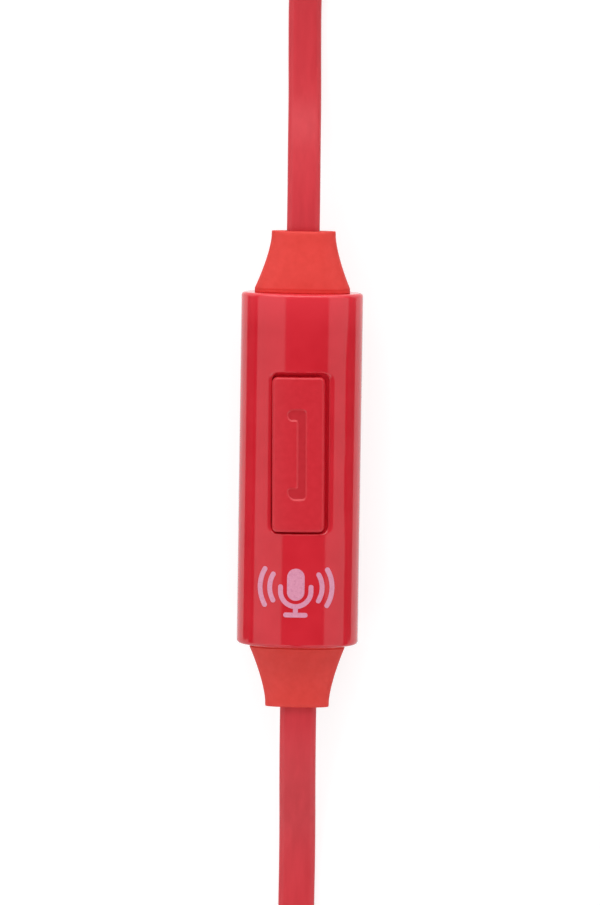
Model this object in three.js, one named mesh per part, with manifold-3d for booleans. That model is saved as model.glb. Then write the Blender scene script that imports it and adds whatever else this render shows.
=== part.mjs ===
// Wired earphones with an in-line remote, laid out on a table with the spare cord coiled.
//
// Millimetres, +Z up. The origin is the centre of the remote's flat back, on the table. +Y runs
// along the remote towards the Y-splitter, +X is across it, and +Z is out of the button's face.
// The remote is a clamshell of elliptical section. A flat cord leaves each end of it through a
// rubber strain relief: the upper lead runs to the splitter and the two earbuds, the lower lead
// to the plug. Off to the right lie the two coils, the earbuds and the plug.

import * as THREE from 'three';
import { mergeVertices } from 'three/addons/utils/BufferGeometryUtils.js';
import Module from 'manifold-3d';

const wasm = await Module();
wasm.setup();

// ---- Driving dimensions -------------------------------------------------------------------

// Clearances shared by the whole assembly
const fit = 0.05;              // between two pieces that seat on each other
const embed = 0.1;             // how far a post or boss reaches into the wall that it stands on

// Remote housing
const remoteWidth = 10.0;
const remoteDepth = 7.6;       // height of the full ellipse, before the back is cut flat
const remoteLength = 29.0;
const remoteWall = 0.8;
const remoteEndWall = 1.0;
const remoteEdge = 0.3;        // rounding of the end edges
const backCut = 0.2;           // depth of the flat along the back
const seamDrop = 0.3;          // how far the shells' seam lies below the section's axis
const postSize = 0.8;          // side of the posts that hold the circuit board
const postX = 2.6;
const postInset = 1.6;         // from the board's end to a post's centre

// Button
const buttonWidth = 4.28;
const buttonLength = 12.7;
const buttonCentreX = -0.1;    // it sits against the left side of its slot
const buttonCentreY = 1.45;
const buttonProud = 0.1;       // of the face above the shell's crown
const buttonCorner = 0.4;
const buttonEdge = 0.25;
const buttonTravel = 0.25;
const slotWidth = 4.98;
const slotLength = 13.15;
const slotCentreY = 1.555;
const slotCorner = 0.65;
const flangeReach = 0.2;       // of the flange past the slot's sides, under the shell
const flangeThick = 0.4;
const flangeGap = 0.2;         // from the flange to the shell above it
const plungerRadius = 0.8;
const plungerSpare = 0.07;     // left under the plunger at the end of its travel

// Handset pictogram sunk in the button's face
const markHeight = 7.2;
const markReach = 1.43;        // width over the bar and its two ends
const markBar = 0.7;
const markSink = 0.12;

// Circuit board and what it carries
const boardThick = 0.8;
const boardDrop = 0.6;         // of the board's underside below the section's axis
const boardSideGap = 0.4;
const boardEndGap = 0.3;
const switchSize = 3.2;
const switchHeight = 0.7;
const domeRadius = 1.3;
const domeHeight = 0.38;
const domeThick = 0.14;
const micWidth = 2.75;
const micLength = 1.85;
const micHeight = 0.9;
const micInset = 4.3;          // from the board's end to the microphone's centre
const portRadius = 0.4;
const gasketRadius = 1.1;

// Strain reliefs of the remote
const reliefLength = 4.9;
const reliefWidth = 7.85;      // across the lip
const reliefDepth = 3.8;
const reliefEndWidth = 5.25;   // across the narrow end
const reliefEndDepth = 2.3;
const reliefLip = 0.3;
const reliefTuck = 0.12;       // of the lip at the end wall, from its widest ring
const reliefFlare = 1.45;      // power by which the sides run out towards the lip
const reliefSquare = 2.5;      // power of its section, squarer than an ellipse
const neckWidth = 4.1;
const neckDepth = 1.9;
const collarThick = 0.8;       // of the collar inside the end wall
const collarRim = 0.45;        // that the collar overlaps the wall all round
const anchorWidth = 3.4;
const anchorDepth = 1.7;
const anchorLength = 1.5;

// Flat cords: width and thickness
const upperWidth = 2.65;
const lowerWidth = 3.0;
const leadThick = 1.2;
const strandWidth = 2.0;
const strandThick = 1.0;

// Coil ties
const tieThick = 0.5;
const tieGap = 0.3;            // above and below the turns
const tieSideGap = 0.5;        // inside and outside the turns
const tieWidth = 4.0;
const tieRound = 0.8;          // of the corners inside the tie

// Coils of spare cord
const leadCoilAt = [46, -30];
const leadCoilRadius = 18.4;   // outermost centre line
const leadCoilTurns = 6.25;
const leadCoilStep = 1.65;     // between turns side by side
const leadCoilRise = 3.45;     // between layers
const strandCoilAt = [50, 34.5];
const strandCoilRadius = 12.6;
const rightCoilTurns = 4.5;
const leftCoilTurns = 4.25;
const strandCoilStep = 1.45;
const strandCoilRise = 2.45;
const climbDip = 0.55;         // extra inward step while the cord climbs a layer

// Y-splitter, standing on edge
const splitterAt = [27, 50];
const splitterLength = 12.0;
const splitterThick = 4.6;
const splitterHeight = 8.0;
const splitterWall = 0.8;
const splitterRound = 1.1;
const strandSpread = 2.8;      // between the two strands where they leave the splitter
const portWall = 0.3;          // of rubber round each cord in the splitter

// Plug
const plugAt = [64.4, -13.0];
const plugReliefLength = 6.0;
const plugReliefEnd = 1.95;
const plugReliefRoot = 2.5;
const plugNeckRadius = 1.7;
const plugNeckLength = 2.0;
const plugBodyLength = 12.0;
const plugBodyRadius = 3.0;
const plugBodyEdge = 0.4;
const pinRadius = 1.75;
const pinLength = 14.0;
const pinRoot = 3.0;           // of the sleeve inside the body
const rodRadius = 0.5;
const insulatorWidth = 0.6;
const ringWidth = 2.2;
const tipLength = 3.2;

// Earbuds, measured along their axis from the front of the ear tip
const rightBudAt = [36, -9];
const leftBudAt = [51, -9];
const budRadius = 6.0;
const budWall = 0.8;
const nozzleRadius = 2.4;
const nozzleBore = 1.7;
const nozzleStart = 1.3;
const nozzleEnd = 7.2;
const frontFlare = 4.0;        // length from the nozzle to the housing's full radius
const frontEnd = 12.6;         // where the two housings meet
const rearEnd = 18.6;
const rearRound = 3.4;         // length over which the rear narrows to its cap
const screenThick = 0.3;
const tipSkirtEnd = 7.4;
const tipSkirtThick = 0.6;
const tipWidest = 5.2;         // where the skirt reaches its full radius
const tipShoulder = 2.4;       // where the dome turns into the skirt
const tipRim = 1.3;            // width of the rounded rim about the opening
const tipOpening = 1.9;
const tipTube = 3.2;           // outer radius of the ear tip's inner tube
const driverRadius = 5.1;
const driverStart = 10.9;
const driverDepth = 2.1;
const membraneThick = 0.15;
const membraneDome = 2.2;      // radius of its middle
const membraneCone = 2.6;      // where its roll starts
const membraneRoll = 3.6;      // where its roll ends
const coilRadius = 2.5;
const coilThick = 0.3;
const magnetRadius = 2.1;
const magnetThick = 1.4;
const cupRadius = 3.4;
const cupWall = 0.45;
const capFlange = 3.3;
const capRadius = 2.6;
const capThick = 0.55;
const capDepth = 1.4;
const budNeckRadius = 1.6;
const budReliefLength = 4.3;
const budReliefRoot = 2.25;
const budReliefEnd = 1.45;

// Sides of the turned pieces: those that show, those at the cord ends and those sealed inside
const outerSides = 20;
const endSides = 16;
const innerSides = 12;

// ---- Sizes worked out from the ones above -------------------------------------------------

const axisZ = remoteDepth / 2 - backCut;
const halfLength = remoteLength / 2;
const seamZ = axisZ - seamDrop;
const boardBottom = axisZ - boardDrop;
const boardTop = boardBottom + boardThick;
const collarEnd = halfLength - remoteEndWall - fit - collarThick;
const anchorEnd = collarEnd - fit - anchorLength;
const boardEnd = anchorEnd - boardEndGap;
const postY = boardEnd - postInset;
const micY = micInset - boardEnd;
const domeTop = boardTop + switchHeight + domeHeight;
const coilLift = tieThick + tieGap;
const splitterAxisZ = splitterHeight / 2;

// ---- Finishes -----------------------------------------------------------------------------

const finish = (color, roughness, metalness = 0) => ({ color, roughness, metalness });
const glossRed = finish(0xc42a36, 0.12);
const satinRed = finish(0xcc343e, 0.35);
const rubberRed = finish(0xe24e46, 0.7);
const cordRed = finish(0xc93a46, 0.45);
const boardGreen = finish(0x1f5a3a, 0.6);
const blackPlastic = finish(0x202022, 0.5);
const silicone = finish(0x2b2b2e, 0.6);
const steel = finish(0xc9c9c6, 0.25, 1);
const gold = finish(0xc9a55a, 0.3, 1);
const copper = finish(0xb86f42, 0.35, 1);
const film = finish(0xd8d8d2, 0.4);
const strap = finish(0x3a3a3d, 0.8);

function piece(name, geometry, look) {
  const mesh = new THREE.Mesh(geometry, new THREE.MeshStandardMaterial(look));
  mesh.name = name;
  return mesh;
}

// ---- Solids: joining, cutting and the basic forms -----------------------------------------

function toSolid(geometry) {
  const bare = geometry.clone();
  bare.deleteAttribute('normal');
  bare.deleteAttribute('uv');
  const merged = mergeVertices(bare, 1e-4);
  return new wasm.Manifold(new wasm.Mesh({
    numProp: 3,
    vertProperties: new Float32Array(merged.attributes.position.array),
    triVerts: new Uint32Array(merged.index.array),
  }));
}

function toGeometry(solid) {
  const mesh = solid.getMesh();
  const geometry = new THREE.BufferGeometry();
  geometry.setAttribute('position', new THREE.BufferAttribute(mesh.vertProperties, 3));
  geometry.setIndex(new THREE.BufferAttribute(mesh.triVerts, 1));
  geometry.computeVertexNormals();
  return geometry;
}

const cut = (body, ...tools) => tools.reduce((left, tool) => left.subtract(toSolid(tool)), body);
const join = (body, ...more) => more.reduce((sum, part) => sum.add(toSolid(part)), body);

function box([x0, y0, z0], [x1, y1, z1]) {
  const geometry = new THREE.BoxGeometry(x1 - x0, y1 - y0, z1 - z0);
  geometry.translate((x0 + x1) / 2, (y0 + y1) / 2, (z0 + z1) / 2);
  return geometry;
}

function extrude(shape, depth, edge, curveSegments) {
  return new THREE.ExtrudeGeometry(shape, {
    depth: depth - 2 * edge,
    curveSegments,
    bevelEnabled: edge > 0,
    bevelSize: edge,
    bevelThickness: edge,
    bevelOffset: -edge,
    bevelSegments: 2,
  }).translate(0, 0, edge);
}

// A shape drawn in X and Z, run along Y from one place to another
function alongY(shape, from, to, edge = 0, curveSegments = 14) {
  return extrude(shape, to - from, edge, curveSegments).rotateX(Math.PI / 2).translate(0, to, 0);
}

// A shape drawn in Y and Z, run along X
function alongX(shape, from, to, edge = 0, curveSegments = 14) {
  return alongY(shape, -to, -from, edge, curveSegments).rotateZ(Math.PI / 2);
}

// A shape drawn in X and Y, run up from one height to another
function alongZ(shape, from, to, edge = 0, curveSegments = 3) {
  return extrude(shape, to - from, edge, curveSegments).translate(0, 0, from);
}

function ellipse(halfWidth, halfDepth, centreZ) {
  return new THREE.Shape().absellipse(0, centreZ, halfWidth, halfDepth, 0, 2 * Math.PI);
}

function roundedRect(width, height, radius, centreX = 0, centreY = 0) {
  const right = width / 2;
  const top = height / 2;
  const shape = new THREE.Shape();
  shape.absarc(centreX + right - radius, centreY + top - radius, radius, 0, Math.PI / 2);
  shape.absarc(centreX - right + radius, centreY + top - radius, radius, Math.PI / 2, Math.PI);
  shape.absarc(centreX - right + radius, centreY - top + radius, radius, Math.PI, 1.5 * Math.PI);
  shape.absarc(centreX + right - radius, centreY - top + radius, radius, 1.5 * Math.PI, 2 * Math.PI);
  return shape;
}

// A solid turned about the Y axis. The outline's points are [radius, y] and run up the outside.
function turned(outline, sides) {
  const points = outline.map(([radius, y]) => new THREE.Vector2(radius, y));
  const onAxis = outline[0][0] === 0 && outline[outline.length - 1][0] === 0;
  if (!onAxis) points.push(points[0].clone());
  return new THREE.LatheGeometry(points, sides);
}

// A closed skin over a run of rings, each listed anticlockwise as seen from ahead of the run
function skin(rings) {
  const sides = rings[0].length;
  const index = [];
  for (let ring = 0; ring + 1 < rings.length; ring += 1) {
    for (let side = 0; side < sides; side += 1) {
      const here = ring * sides + side;
      const next = ring * sides + (side + 1) % sides;
      index.push(here, next, next + sides, here, next + sides, here + sides);
    }
  }
  const last = (rings.length - 1) * sides;
  for (let side = 1; side + 1 < sides; side += 1) {
    index.push(0, side + 1, side);
    index.push(last, last + side, last + side + 1);
  }
  const geometry = new THREE.BufferGeometry();
  geometry.setAttribute('position', new THREE.Float32BufferAttribute(rings.flat(2), 3));
  geometry.setIndex(index);
  geometry.computeVertexNormals();
  return geometry;
}

// ---- Remote -------------------------------------------------------------------------------

// Height of the housing's inner wall above the section's axis, at a distance x from the middle
function innerHeight(x) {
  const across = x / (remoteWidth / 2 - remoteWall);
  return (remoteDepth / 2 - remoteWall) * Math.sqrt(1 - across * across);
}

// Half the width of the housing's inside at a height above or below the section's axis
function innerHalfWidth(height) {
  const up = height / (remoteDepth / 2 - remoteWall);
  return (remoteWidth / 2 - remoteWall) * Math.sqrt(1 - up * up);
}

// One shell: the elliptical tube with its end walls, between two heights
function shellBlank(bottom, top) {
  const outer = ellipse(remoteWidth / 2, remoteDepth / 2, axisZ);
  const inner = ellipse(remoteWidth / 2 - remoteWall, remoteDepth / 2 - remoteWall, axisZ);
  const inside = halfLength - remoteEndWall;
  const passage = ellipse(neckWidth / 2 + fit, neckDepth / 2 + fit, axisZ);
  const slab = box([-remoteWidth, -remoteLength, bottom], [remoteWidth, remoteLength, top]);
  const body = toSolid(alongY(outer, -halfLength, halfLength, remoteEdge)).intersect(toSolid(slab));
  return cut(
    body,
    alongY(inner, -inside, inside),
    alongY(passage, -remoteLength, remoteLength, 0, 8),
  );
}

function post(x, y, bottom, top) {
  const half = postSize / 2;
  return box([x - half, y - half, bottom], [x + half, y + half, top]);
}

function frontShell() {
  const crown = axisZ + remoteDepth / 2;
  const slot = roundedRect(slotWidth, slotLength, slotCorner, 0, slotCentreY);
  const postTop = axisZ + innerHeight(postX - postSize / 2) + embed;
  const posts = [-1, 1].map((side) => post(side * postX, -postY, boardTop + fit, postTop));
  const topPosts = [-1, 1].map((side) => post(side * postX, postY, boardTop + fit, postTop));
  const shell = shellBlank(seamZ + fit / 2, crown + 1);
  return join(cut(shell, alongZ(slot, boardTop, crown + 1)), ...posts, ...topPosts);
}

function backShell() {
  const postBottom = axisZ - innerHeight(postX - postSize / 2) - embed;
  const posts = [-1, 1].flatMap((side) => [-1, 1].map((end) => (
    post(side * postX, end * postY, postBottom, boardBottom - fit)
  )));
  const port = new THREE.CylinderGeometry(portRadius, portRadius, remoteDepth, 12);
  port.rotateX(Math.PI / 2).translate(0, micY, 0);
  return cut(join(shellBlank(0, seamZ - fit / 2), ...posts), port);
}

function handsetMark(faceZ) {
  const right = markReach / 2;
  const shape = new THREE.Shape([
    [right, -markHeight / 2], [right, markHeight / 2], [-right, markHeight / 2],
    [-right, markHeight / 2 - markBar], [right - markBar, markHeight / 2 - markBar],
    [right - markBar, markBar - markHeight / 2], [-right, markBar - markHeight / 2],
    [-right, -markHeight / 2],
  ].map(([x, y]) => new THREE.Vector2(x, y)));
  return alongZ(shape, faceZ - markSink, faceZ + 1)
    .translate(buttonCentreX, buttonCentreY, 0);
}

// The cap, the flange that keeps it in and the plunger over the dome, as one moulding
function button() {
  const faceZ = axisZ + remoteDepth / 2 + buttonProud;
  const flangeHalf = slotWidth / 2 + flangeReach;
  const flangeTop = axisZ + innerHeight(flangeHalf) - flangeGap;
  const plungerBottom = domeTop + buttonTravel + plungerSpare;
  const cap = roundedRect(
    buttonWidth, buttonLength, buttonCorner, buttonCentreX, buttonCentreY,
  );
  const flange = roundedRect(
    2 * flangeHalf, slotLength + 2 * flangeReach, slotCorner, 0, slotCentreY,
  );
  const plunger = new THREE.CylinderGeometry(
    plungerRadius, plungerRadius, flangeTop - plungerBottom, 16,
  );
  plunger.rotateX(Math.PI / 2).translate(0, buttonCentreY, (flangeTop + plungerBottom) / 2);
  const body = toSolid(alongZ(cap, flangeTop - flangeThick, faceZ, buttonEdge));
  const whole = join(body, alongZ(flange, flangeTop - flangeThick, flangeTop), plunger);
  return toGeometry(cut(whole, handsetMark(faceZ)));
}

function dome() {
  const geometry = turned([
    [0, domeHeight - domeThick], [domeRadius * 0.5, domeHeight - domeThick * 1.5],
    [domeRadius - 1.5 * domeThick, 0], [domeRadius, 0],
    [domeRadius * 0.85, domeHeight * 0.5], [domeRadius * 0.5, domeHeight * 0.88], [0, domeHeight],
  ], innerSides);
  return geometry.rotateX(Math.PI / 2).translate(0, buttonCentreY, domeTop - domeHeight);
}

function gasket() {
  const floor = axisZ - innerHeight(gasketRadius) + fit;
  const geometry = turned([
    [portRadius, floor], [gasketRadius, floor],
    [gasketRadius, boardBottom - micHeight], [portRadius, boardBottom - micHeight],
  ], innerSides);
  return geometry.rotateX(Math.PI / 2).translate(0, micY, 0);
}

// One ring of a relief
function reliefRing(y, halfWidth, halfDepth, sides = 20) {
  return Array.from({ length: sides }, (_, step) => {
    const angle = 2 * Math.PI * step / sides;
    const rounded = (value) => Math.sign(value) * Math.abs(value) ** (2 / reliefSquare);
    const x = halfWidth * rounded(Math.sin(angle));
    const z = axisZ + halfDepth * rounded(Math.cos(angle));
    return [x, y, z];
  });
}

// A relief flares from the cord to a rounded lip on the end wall, and is held by its collar
function strainRelief() {
  const lipY = halfLength + fit;
  const start = lipY + reliefLip;
  const run = reliefLength - fit - reliefLip;
  const rings = [reliefRing(lipY, reliefWidth / 2 - reliefTuck, reliefDepth / 2 - reliefTuck)];
  for (let step = 0; step <= 7; step += 1) {
    const along = step / 7;
    const flare = (1 - along) ** reliefFlare;
    const halfWidth = (reliefEndWidth + (reliefWidth - reliefEndWidth) * flare) / 2;
    const halfDepth = (reliefEndDepth + (reliefDepth - reliefEndDepth) * flare) / 2;
    rings.push(reliefRing(start + run * along, halfWidth, halfDepth));
  }
  const neck = ellipse(neckWidth / 2, neckDepth / 2, axisZ);
  const collar = ellipse(neckWidth / 2 + collarRim, neckDepth / 2 + collarRim, axisZ);
  return join(
    toSolid(skin(rings)),
    alongY(neck, collarEnd + collarThick / 2, lipY + reliefLip, 0, 8),
    alongY(collar, collarEnd, collarEnd + collarThick, 0, 8),
  );
}

function remote() {
  const group = new THREE.Group();
  const boardHalf = innerHalfWidth(boardDrop) - boardSideGap;
  const half = switchSize / 2;
  const anchor = box(
    [-anchorWidth / 2, anchorEnd, axisZ - anchorDepth / 2],
    [anchorWidth / 2, anchorEnd + anchorLength, axisZ + anchorDepth / 2],
  );
  const relief = toGeometry(strainRelief());
  group.add(
    piece('remote_front_shell', toGeometry(frontShell()), glossRed),
    piece('remote_back_shell', toGeometry(backShell()), glossRed),
    piece('remote_button', button(), satinRed),
    piece('remote_upper_strain_relief', relief, rubberRed),
    piece('remote_lower_strain_relief', relief.clone().rotateZ(Math.PI), rubberRed),
    piece('remote_circuit_board', box(
      [-boardHalf, -boardEnd, boardBottom], [boardHalf, boardEnd, boardTop],
    ), boardGreen),
    piece('remote_switch_base', box(
      [-half, buttonCentreY - half, boardTop], [half, buttonCentreY + half, boardTop + switchHeight],
    ), blackPlastic),
    piece('remote_switch_dome', dome(), steel),
    piece('remote_microphone', box(
      [-micWidth / 2, micY - micLength / 2, boardBottom - micHeight],
      [micWidth / 2, micY + micLength / 2, boardBottom],
    ), steel),
    piece('remote_microphone_gasket', gasket(), blackPlastic),
    piece('remote_upper_cord_anchor', anchor, blackPlastic),
    piece('remote_lower_cord_anchor', anchor.clone().rotateZ(Math.PI), blackPlastic),
  );
  return group;
}

// ---- Cords --------------------------------------------------------------------------------

// The centre line of a flat cord. Each point is [x, y, z, roll]: at roll 0 the cord's width is
// level, and at roll 90 the cord stands on edge.
class FlatCordLine extends THREE.CatmullRomCurve3 {
  constructor(points) {
    super(points.map(([x, y, z]) => new THREE.Vector3(x, y, z)));
    this.rolls = points.map((point) => THREE.MathUtils.degToRad(point[3]));
  }

  computeFrenetFrames(segments) {
    const frames = { tangents: [], normals: [], binormals: [] };
    const up = new THREE.Vector3(0, 0, 1);
    for (let step = 0; step <= segments; step += 1) {
      const place = this.getUtoTmapping(step / segments);
      const tangent = this.getTangent(place);
      const before = Math.min(Math.floor(place * (this.rolls.length - 1)), this.rolls.length - 2);
      const share = place * (this.rolls.length - 1) - before;
      const roll = THREE.MathUtils.lerp(this.rolls[before], this.rolls[before + 1], share);
      const side = tangent.clone().cross(up).normalize();
      const rise = side.clone().cross(tangent).normalize();
      const normal = side.multiplyScalar(Math.cos(roll)).addScaledVector(rise, Math.sin(roll));
      frames.tangents.push(tangent);
      frames.normals.push(normal);
      frames.binormals.push(tangent.clone().cross(normal));
    }
    return frames;
  }
}

function flatSection(width, thick) {
  const corner = thick * 0.3;
  const right = width / 2;
  const top = thick / 2;
  return new THREE.Shape([
    [right, corner - top], [right, top - corner], [right - corner, top], [corner - right, top],
    [-right, top - corner], [-right, corner - top], [corner - right, -top], [right - corner, -top],
  ].map(([x, y]) => new THREE.Vector2(x, y)));
}

function stretch(points, width, thick) {
  const line = new FlatCordLine(points);
  const steps = Math.max(2, Math.round(line.getLength() / (2.6 * width)));
  return new THREE.ExtrudeGeometry(flatSection(width, thick), {
    steps, extrudePath: line, bevelEnabled: false,
  });
}

// Centre line of a coil in two layers: it spirals in, climbs in the half turn where it
// reverses, and spirals out again. Both ends run straight for one width of the cord.
// hand is 1 for anticlockwise and -1 for clockwise, seen from above.
function coilLine(coil, stepsPerTurn) {
  const { at, start, hand, turns, radius, step, low, rise, width } = coil;
  const place = (turn) => {
    const fromMiddle = turn - turns / 2;
    const away = Math.abs(fromMiddle);
    const eased = away < 0.25 ? 2 * away * away + 0.125 : away;
    const dip = away < 0.5 ? climbDip * Math.cos(Math.PI * away) ** 2 : 0;
    const reach = radius - step * (turns / 2 - eased) - dip;
    const angle = start + hand * 2 * Math.PI * turn;
    const climb = THREE.MathUtils.smoothstep(fromMiddle, -0.25, 0.25);
    return new THREE.Vector3(
      at[0] + reach * Math.cos(angle), at[1] + reach * Math.sin(angle), low + rise * climb,
    );
  };
  const count = Math.round(turns * stepsPerTurn);
  const line = Array.from({ length: count + 1 }, (_, index) => place(turns * index / count));
  const small = 0.001;
  const leave = (end, inside) => place(end).sub(place(inside)).normalize().multiplyScalar(width);
  line.unshift(line[0].clone().add(leave(0, small)));
  line.push(line[line.length - 1].clone().add(leave(turns, turns - small)));
  return line;
}

// The rings of a cord on edge along a line, from an outline of [across, up] points
function edgeRings(line, outline) {
  return line.map((point, index) => {
    const ahead = line[Math.min(index + 1, line.length - 1)];
    const behind = line[Math.max(index - 1, 0)];
    const run = ahead.clone().sub(behind).normalize();
    const side = run.clone().cross(new THREE.Vector3(0, 0, 1)).normalize();
    const rise = side.clone().cross(run);
    return outline.map(([across, up]) => (
      point.clone().addScaledVector(side, across).addScaledVector(rise, up).toArray()
    ));
  });
}

// Six points round the section of a cord on edge, anticlockwise as seen from ahead
function edgeOutline(width, thick) {
  const shoulder = width / 2 - thick * 0.3;
  const side = thick / 2;
  return [[side, -shoulder], [0, -width / 2], [-side, -shoulder],
    [-side, shoulder], [0, width / 2], [side, shoulder]];
}

// Least distance between the surfaces of two places on a coil at least half a turn apart
function leastGap(coil) {
  const stepsPerTurn = 48;
  const outline = edgeOutline(coil.width, coil.thick).flatMap((point, index, all) => {
    const next = all[(index + 1) % all.length];
    return [0, 0.25, 0.5, 0.75].map((share) => (
      [THREE.MathUtils.lerp(point[0], next[0], share), THREE.MathUtils.lerp(point[1], next[1], share)]
    ));
  });
  const rings = edgeRings(coilLine(coil, stepsPerTurn), outline);
  let least = Infinity;
  for (let first = 0; first < rings.length; first += 1) {
    for (let second = first + stepsPerTurn / 2; second < rings.length; second += 1) {
      for (const [x, y, z] of rings[first]) {
        for (const [u, v, w] of rings[second]) {
          least = Math.min(least, (x - u) ** 2 + (y - v) ** 2 + (z - w) ** 2);
        }
      }
    }
  }
  return Math.sqrt(least);
}

function coiled(name, coil) {
  const line = coilLine(coil, 24);
  const length = line.slice(1).reduce((sum, point, index) => sum + point.distanceTo(line[index]), 0);
  console.log(`${name}: ${length.toFixed(0)} mm, least gap ${leastGap(coil).toFixed(2)} mm, from`,
    line[0].toArray().map((value) => value.toFixed(2)).join(' '), 'to',
    line[line.length - 1].toArray().map((value) => value.toFixed(2)).join(' '));
  return piece(name, skin(edgeRings(line, edgeOutline(coil.width, coil.thick))), cordRed);
}

const leadCoil = {
  at: leadCoilAt,
  start: -Math.PI / 2,
  hand: 1,
  turns: leadCoilTurns,
  radius: leadCoilRadius,
  step: leadCoilStep,
  low: coilLift + lowerWidth / 2,
  rise: leadCoilRise,
  width: lowerWidth,
  thick: leadThick,
};

const rightCoil = {
  at: strandCoilAt,
  start: Math.PI / 2,
  hand: -1,
  turns: rightCoilTurns,
  radius: strandCoilRadius,
  step: strandCoilStep,
  low: coilLift + strandWidth / 2,
  rise: strandCoilRise,
  width: strandWidth,
  thick: strandThick,
};

const leftCoil = {
  ...rightCoil,
  turns: leftCoilTurns,
  low: rightCoil.low + 2 * strandCoilRise,
};

// Routes chosen by hand, [x, y, z, roll], from the remote outwards
const upperLeadRoute = [
  [0, 19.7, 3.6, 0], [0, 22, 3.58, 0], [-0.05, 26, 2.75, 0], [-0.12, 30.5, 1.2, 0],
  [-0.2, 34.5, 0.68, 0], [-0.22, 38.5, 0.68, 0], [-0.1, 41, 1.05, 25], [0.7, 44, 1.5, 65],
  [2.6, 47, 1.4, 90], [5.6, 49.2, 1.35, 90], [9.5, 50, 1.5, 90], [14.5, 50, 2.5, 90],
  [19.5, 50, 3.6, 90], [24, 50, 4, 90], [26.7, 50, 4, 90],
];
const lowerLeadRoute = [
  [0, -19.7, 3.6, 0], [0, -22, 3.58, 0], [0, -26, 2.75, 0], [0, -30, 1.2, 0],
  [0, -33.5, 0.68, 0], [0, -37.5, 0.68, 0], [0.2, -40.3, 1.15, 25], [1.2, -43.4, 1.65, 65],
  [3.4, -46.2, 1.6, 90], [6.8, -47.9, 1.52, 90], [11, -48.5, 1.5, 90], [20, -48.5, 1.5, 90],
  [30, -48.5, 1.7, 90], [38, -48.45, 2.3, 90], [42.7, -48.44, 2.3, 90],
];
const lowerLeadEndRoute = [
  [64.45, -26.7, 5.75, 90], [64.5, -24, 5.6, 90], [64.45, -20, 4.2, 90],
  [64.4, -16, 3.1, 90], [64.4, -13.3, 3, 90],
];
const rightStrandRoute = [
  [39.3, 50, 2.6, 90], [41.5, 49.8, 2.5, 90], [44.6, 48.1, 2.0, 90], [47.7, 47.15, 1.8, 90],
];
const leftStrandRoute = [
  [39.3, 50, 5.4, 90], [41.5, 49.8, 5.6, 90], [44.6, 48.1, 6.4, 90], [47.7, 47.15, 6.7, 90],
];
const rightStrandEndRoute = [
  [47.7, 21.86, 4.25, 90], [44.5, 21.7, 4.35, 90], [40.2, 20.8, 4.8, 90],
  [37.2, 18.6, 5.6, 90], [36.1, 16.6, 6, 90], [36, 14.9, 6, 90],
];
const leftStrandEndRoute = [
  [62.64, 32.2, 9.15, 90], [62.5, 29.6, 9.1, 90], [61.5, 26.4, 8.6, 90], [58.6, 22.8, 7.4, 90],
  [54.6, 19.8, 6.3, 90], [51.7, 17.4, 6, 90], [51, 14.9, 6, 90],
];

function cords() {
  const group = new THREE.Group();
  const lead = (name, route, width, thick) => piece(name, stretch(route, width, thick), cordRed);
  group.add(
    lead('upper_lead', upperLeadRoute, upperWidth, leadThick),
    lead('lower_lead', lowerLeadRoute, lowerWidth, leadThick),
    coiled('lower_lead_coil', leadCoil),
    lead('lower_lead_end', lowerLeadEndRoute, lowerWidth, leadThick),
    lead('right_strand', rightStrandRoute, strandWidth, strandThick),
    coiled('right_strand_coil', rightCoil),
    lead('right_strand_end', rightStrandEndRoute, strandWidth, strandThick),
    lead('left_strand', leftStrandRoute, strandWidth, strandThick),
    coiled('left_strand_coil', leftCoil),
    lead('left_strand_end', leftStrandEndRoute, strandWidth, strandThick),
  );
  return group;
}

// A closed strap round a coil's section, drawn across the turns and up
function tieShape(innermost, outermost, bottom, top) {
  const middle = (innermost + outermost) / 2;
  const height = (bottom + top) / 2;
  const wide = outermost - innermost + 2 * tieSideGap;
  const tall = top - bottom + 2 * tieGap;
  const shape = roundedRect(
    wide + 2 * tieThick, tall + 2 * tieThick, tieRound + tieThick, middle, height,
  );
  shape.holes.push(roundedRect(wide, tall, tieRound, middle, height));
  return shape;
}

// The innermost and outermost places of a coil's turns, and their lowest and highest
function coilReach(coil) {
  const line = coilLine(coil, 24).slice(1, -1);
  const radii = line.map((point) => Math.hypot(point.x - coil.at[0], point.y - coil.at[1]));
  return [Math.min(...radii) - coil.thick / 2, coil.radius + coil.thick / 2,
    coil.low - coil.width / 2, coil.low + coil.rise + coil.width / 2];
}

function ties() {
  const group = new THREE.Group();
  const [leadIn, leadOut, leadLow, leadHigh] = coilReach(leadCoil);
  const half = tieWidth / 2;
  const leadTie = alongX(tieShape(leadIn, leadOut, leadLow, leadHigh), -half, half, 0, 3);
  const [strandIn, strandOut, strandLow] = coilReach(rightCoil);
  const strandHigh = coilReach(leftCoil)[3];
  const strandTie = alongY(
    tieShape(-strandOut, -strandIn, strandLow, strandHigh), -half, half, 0, 3,
  );
  group.add(
    piece('lead_coil_tie', leadTie.translate(...leadCoilAt, 0), strap),
    piece('strand_coil_tie', strandTie.translate(...strandCoilAt, 0), strap),
  );
  return group;
}

// ---- Y-splitter, built along Y and then turned to lie along X ------------------------------

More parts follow.
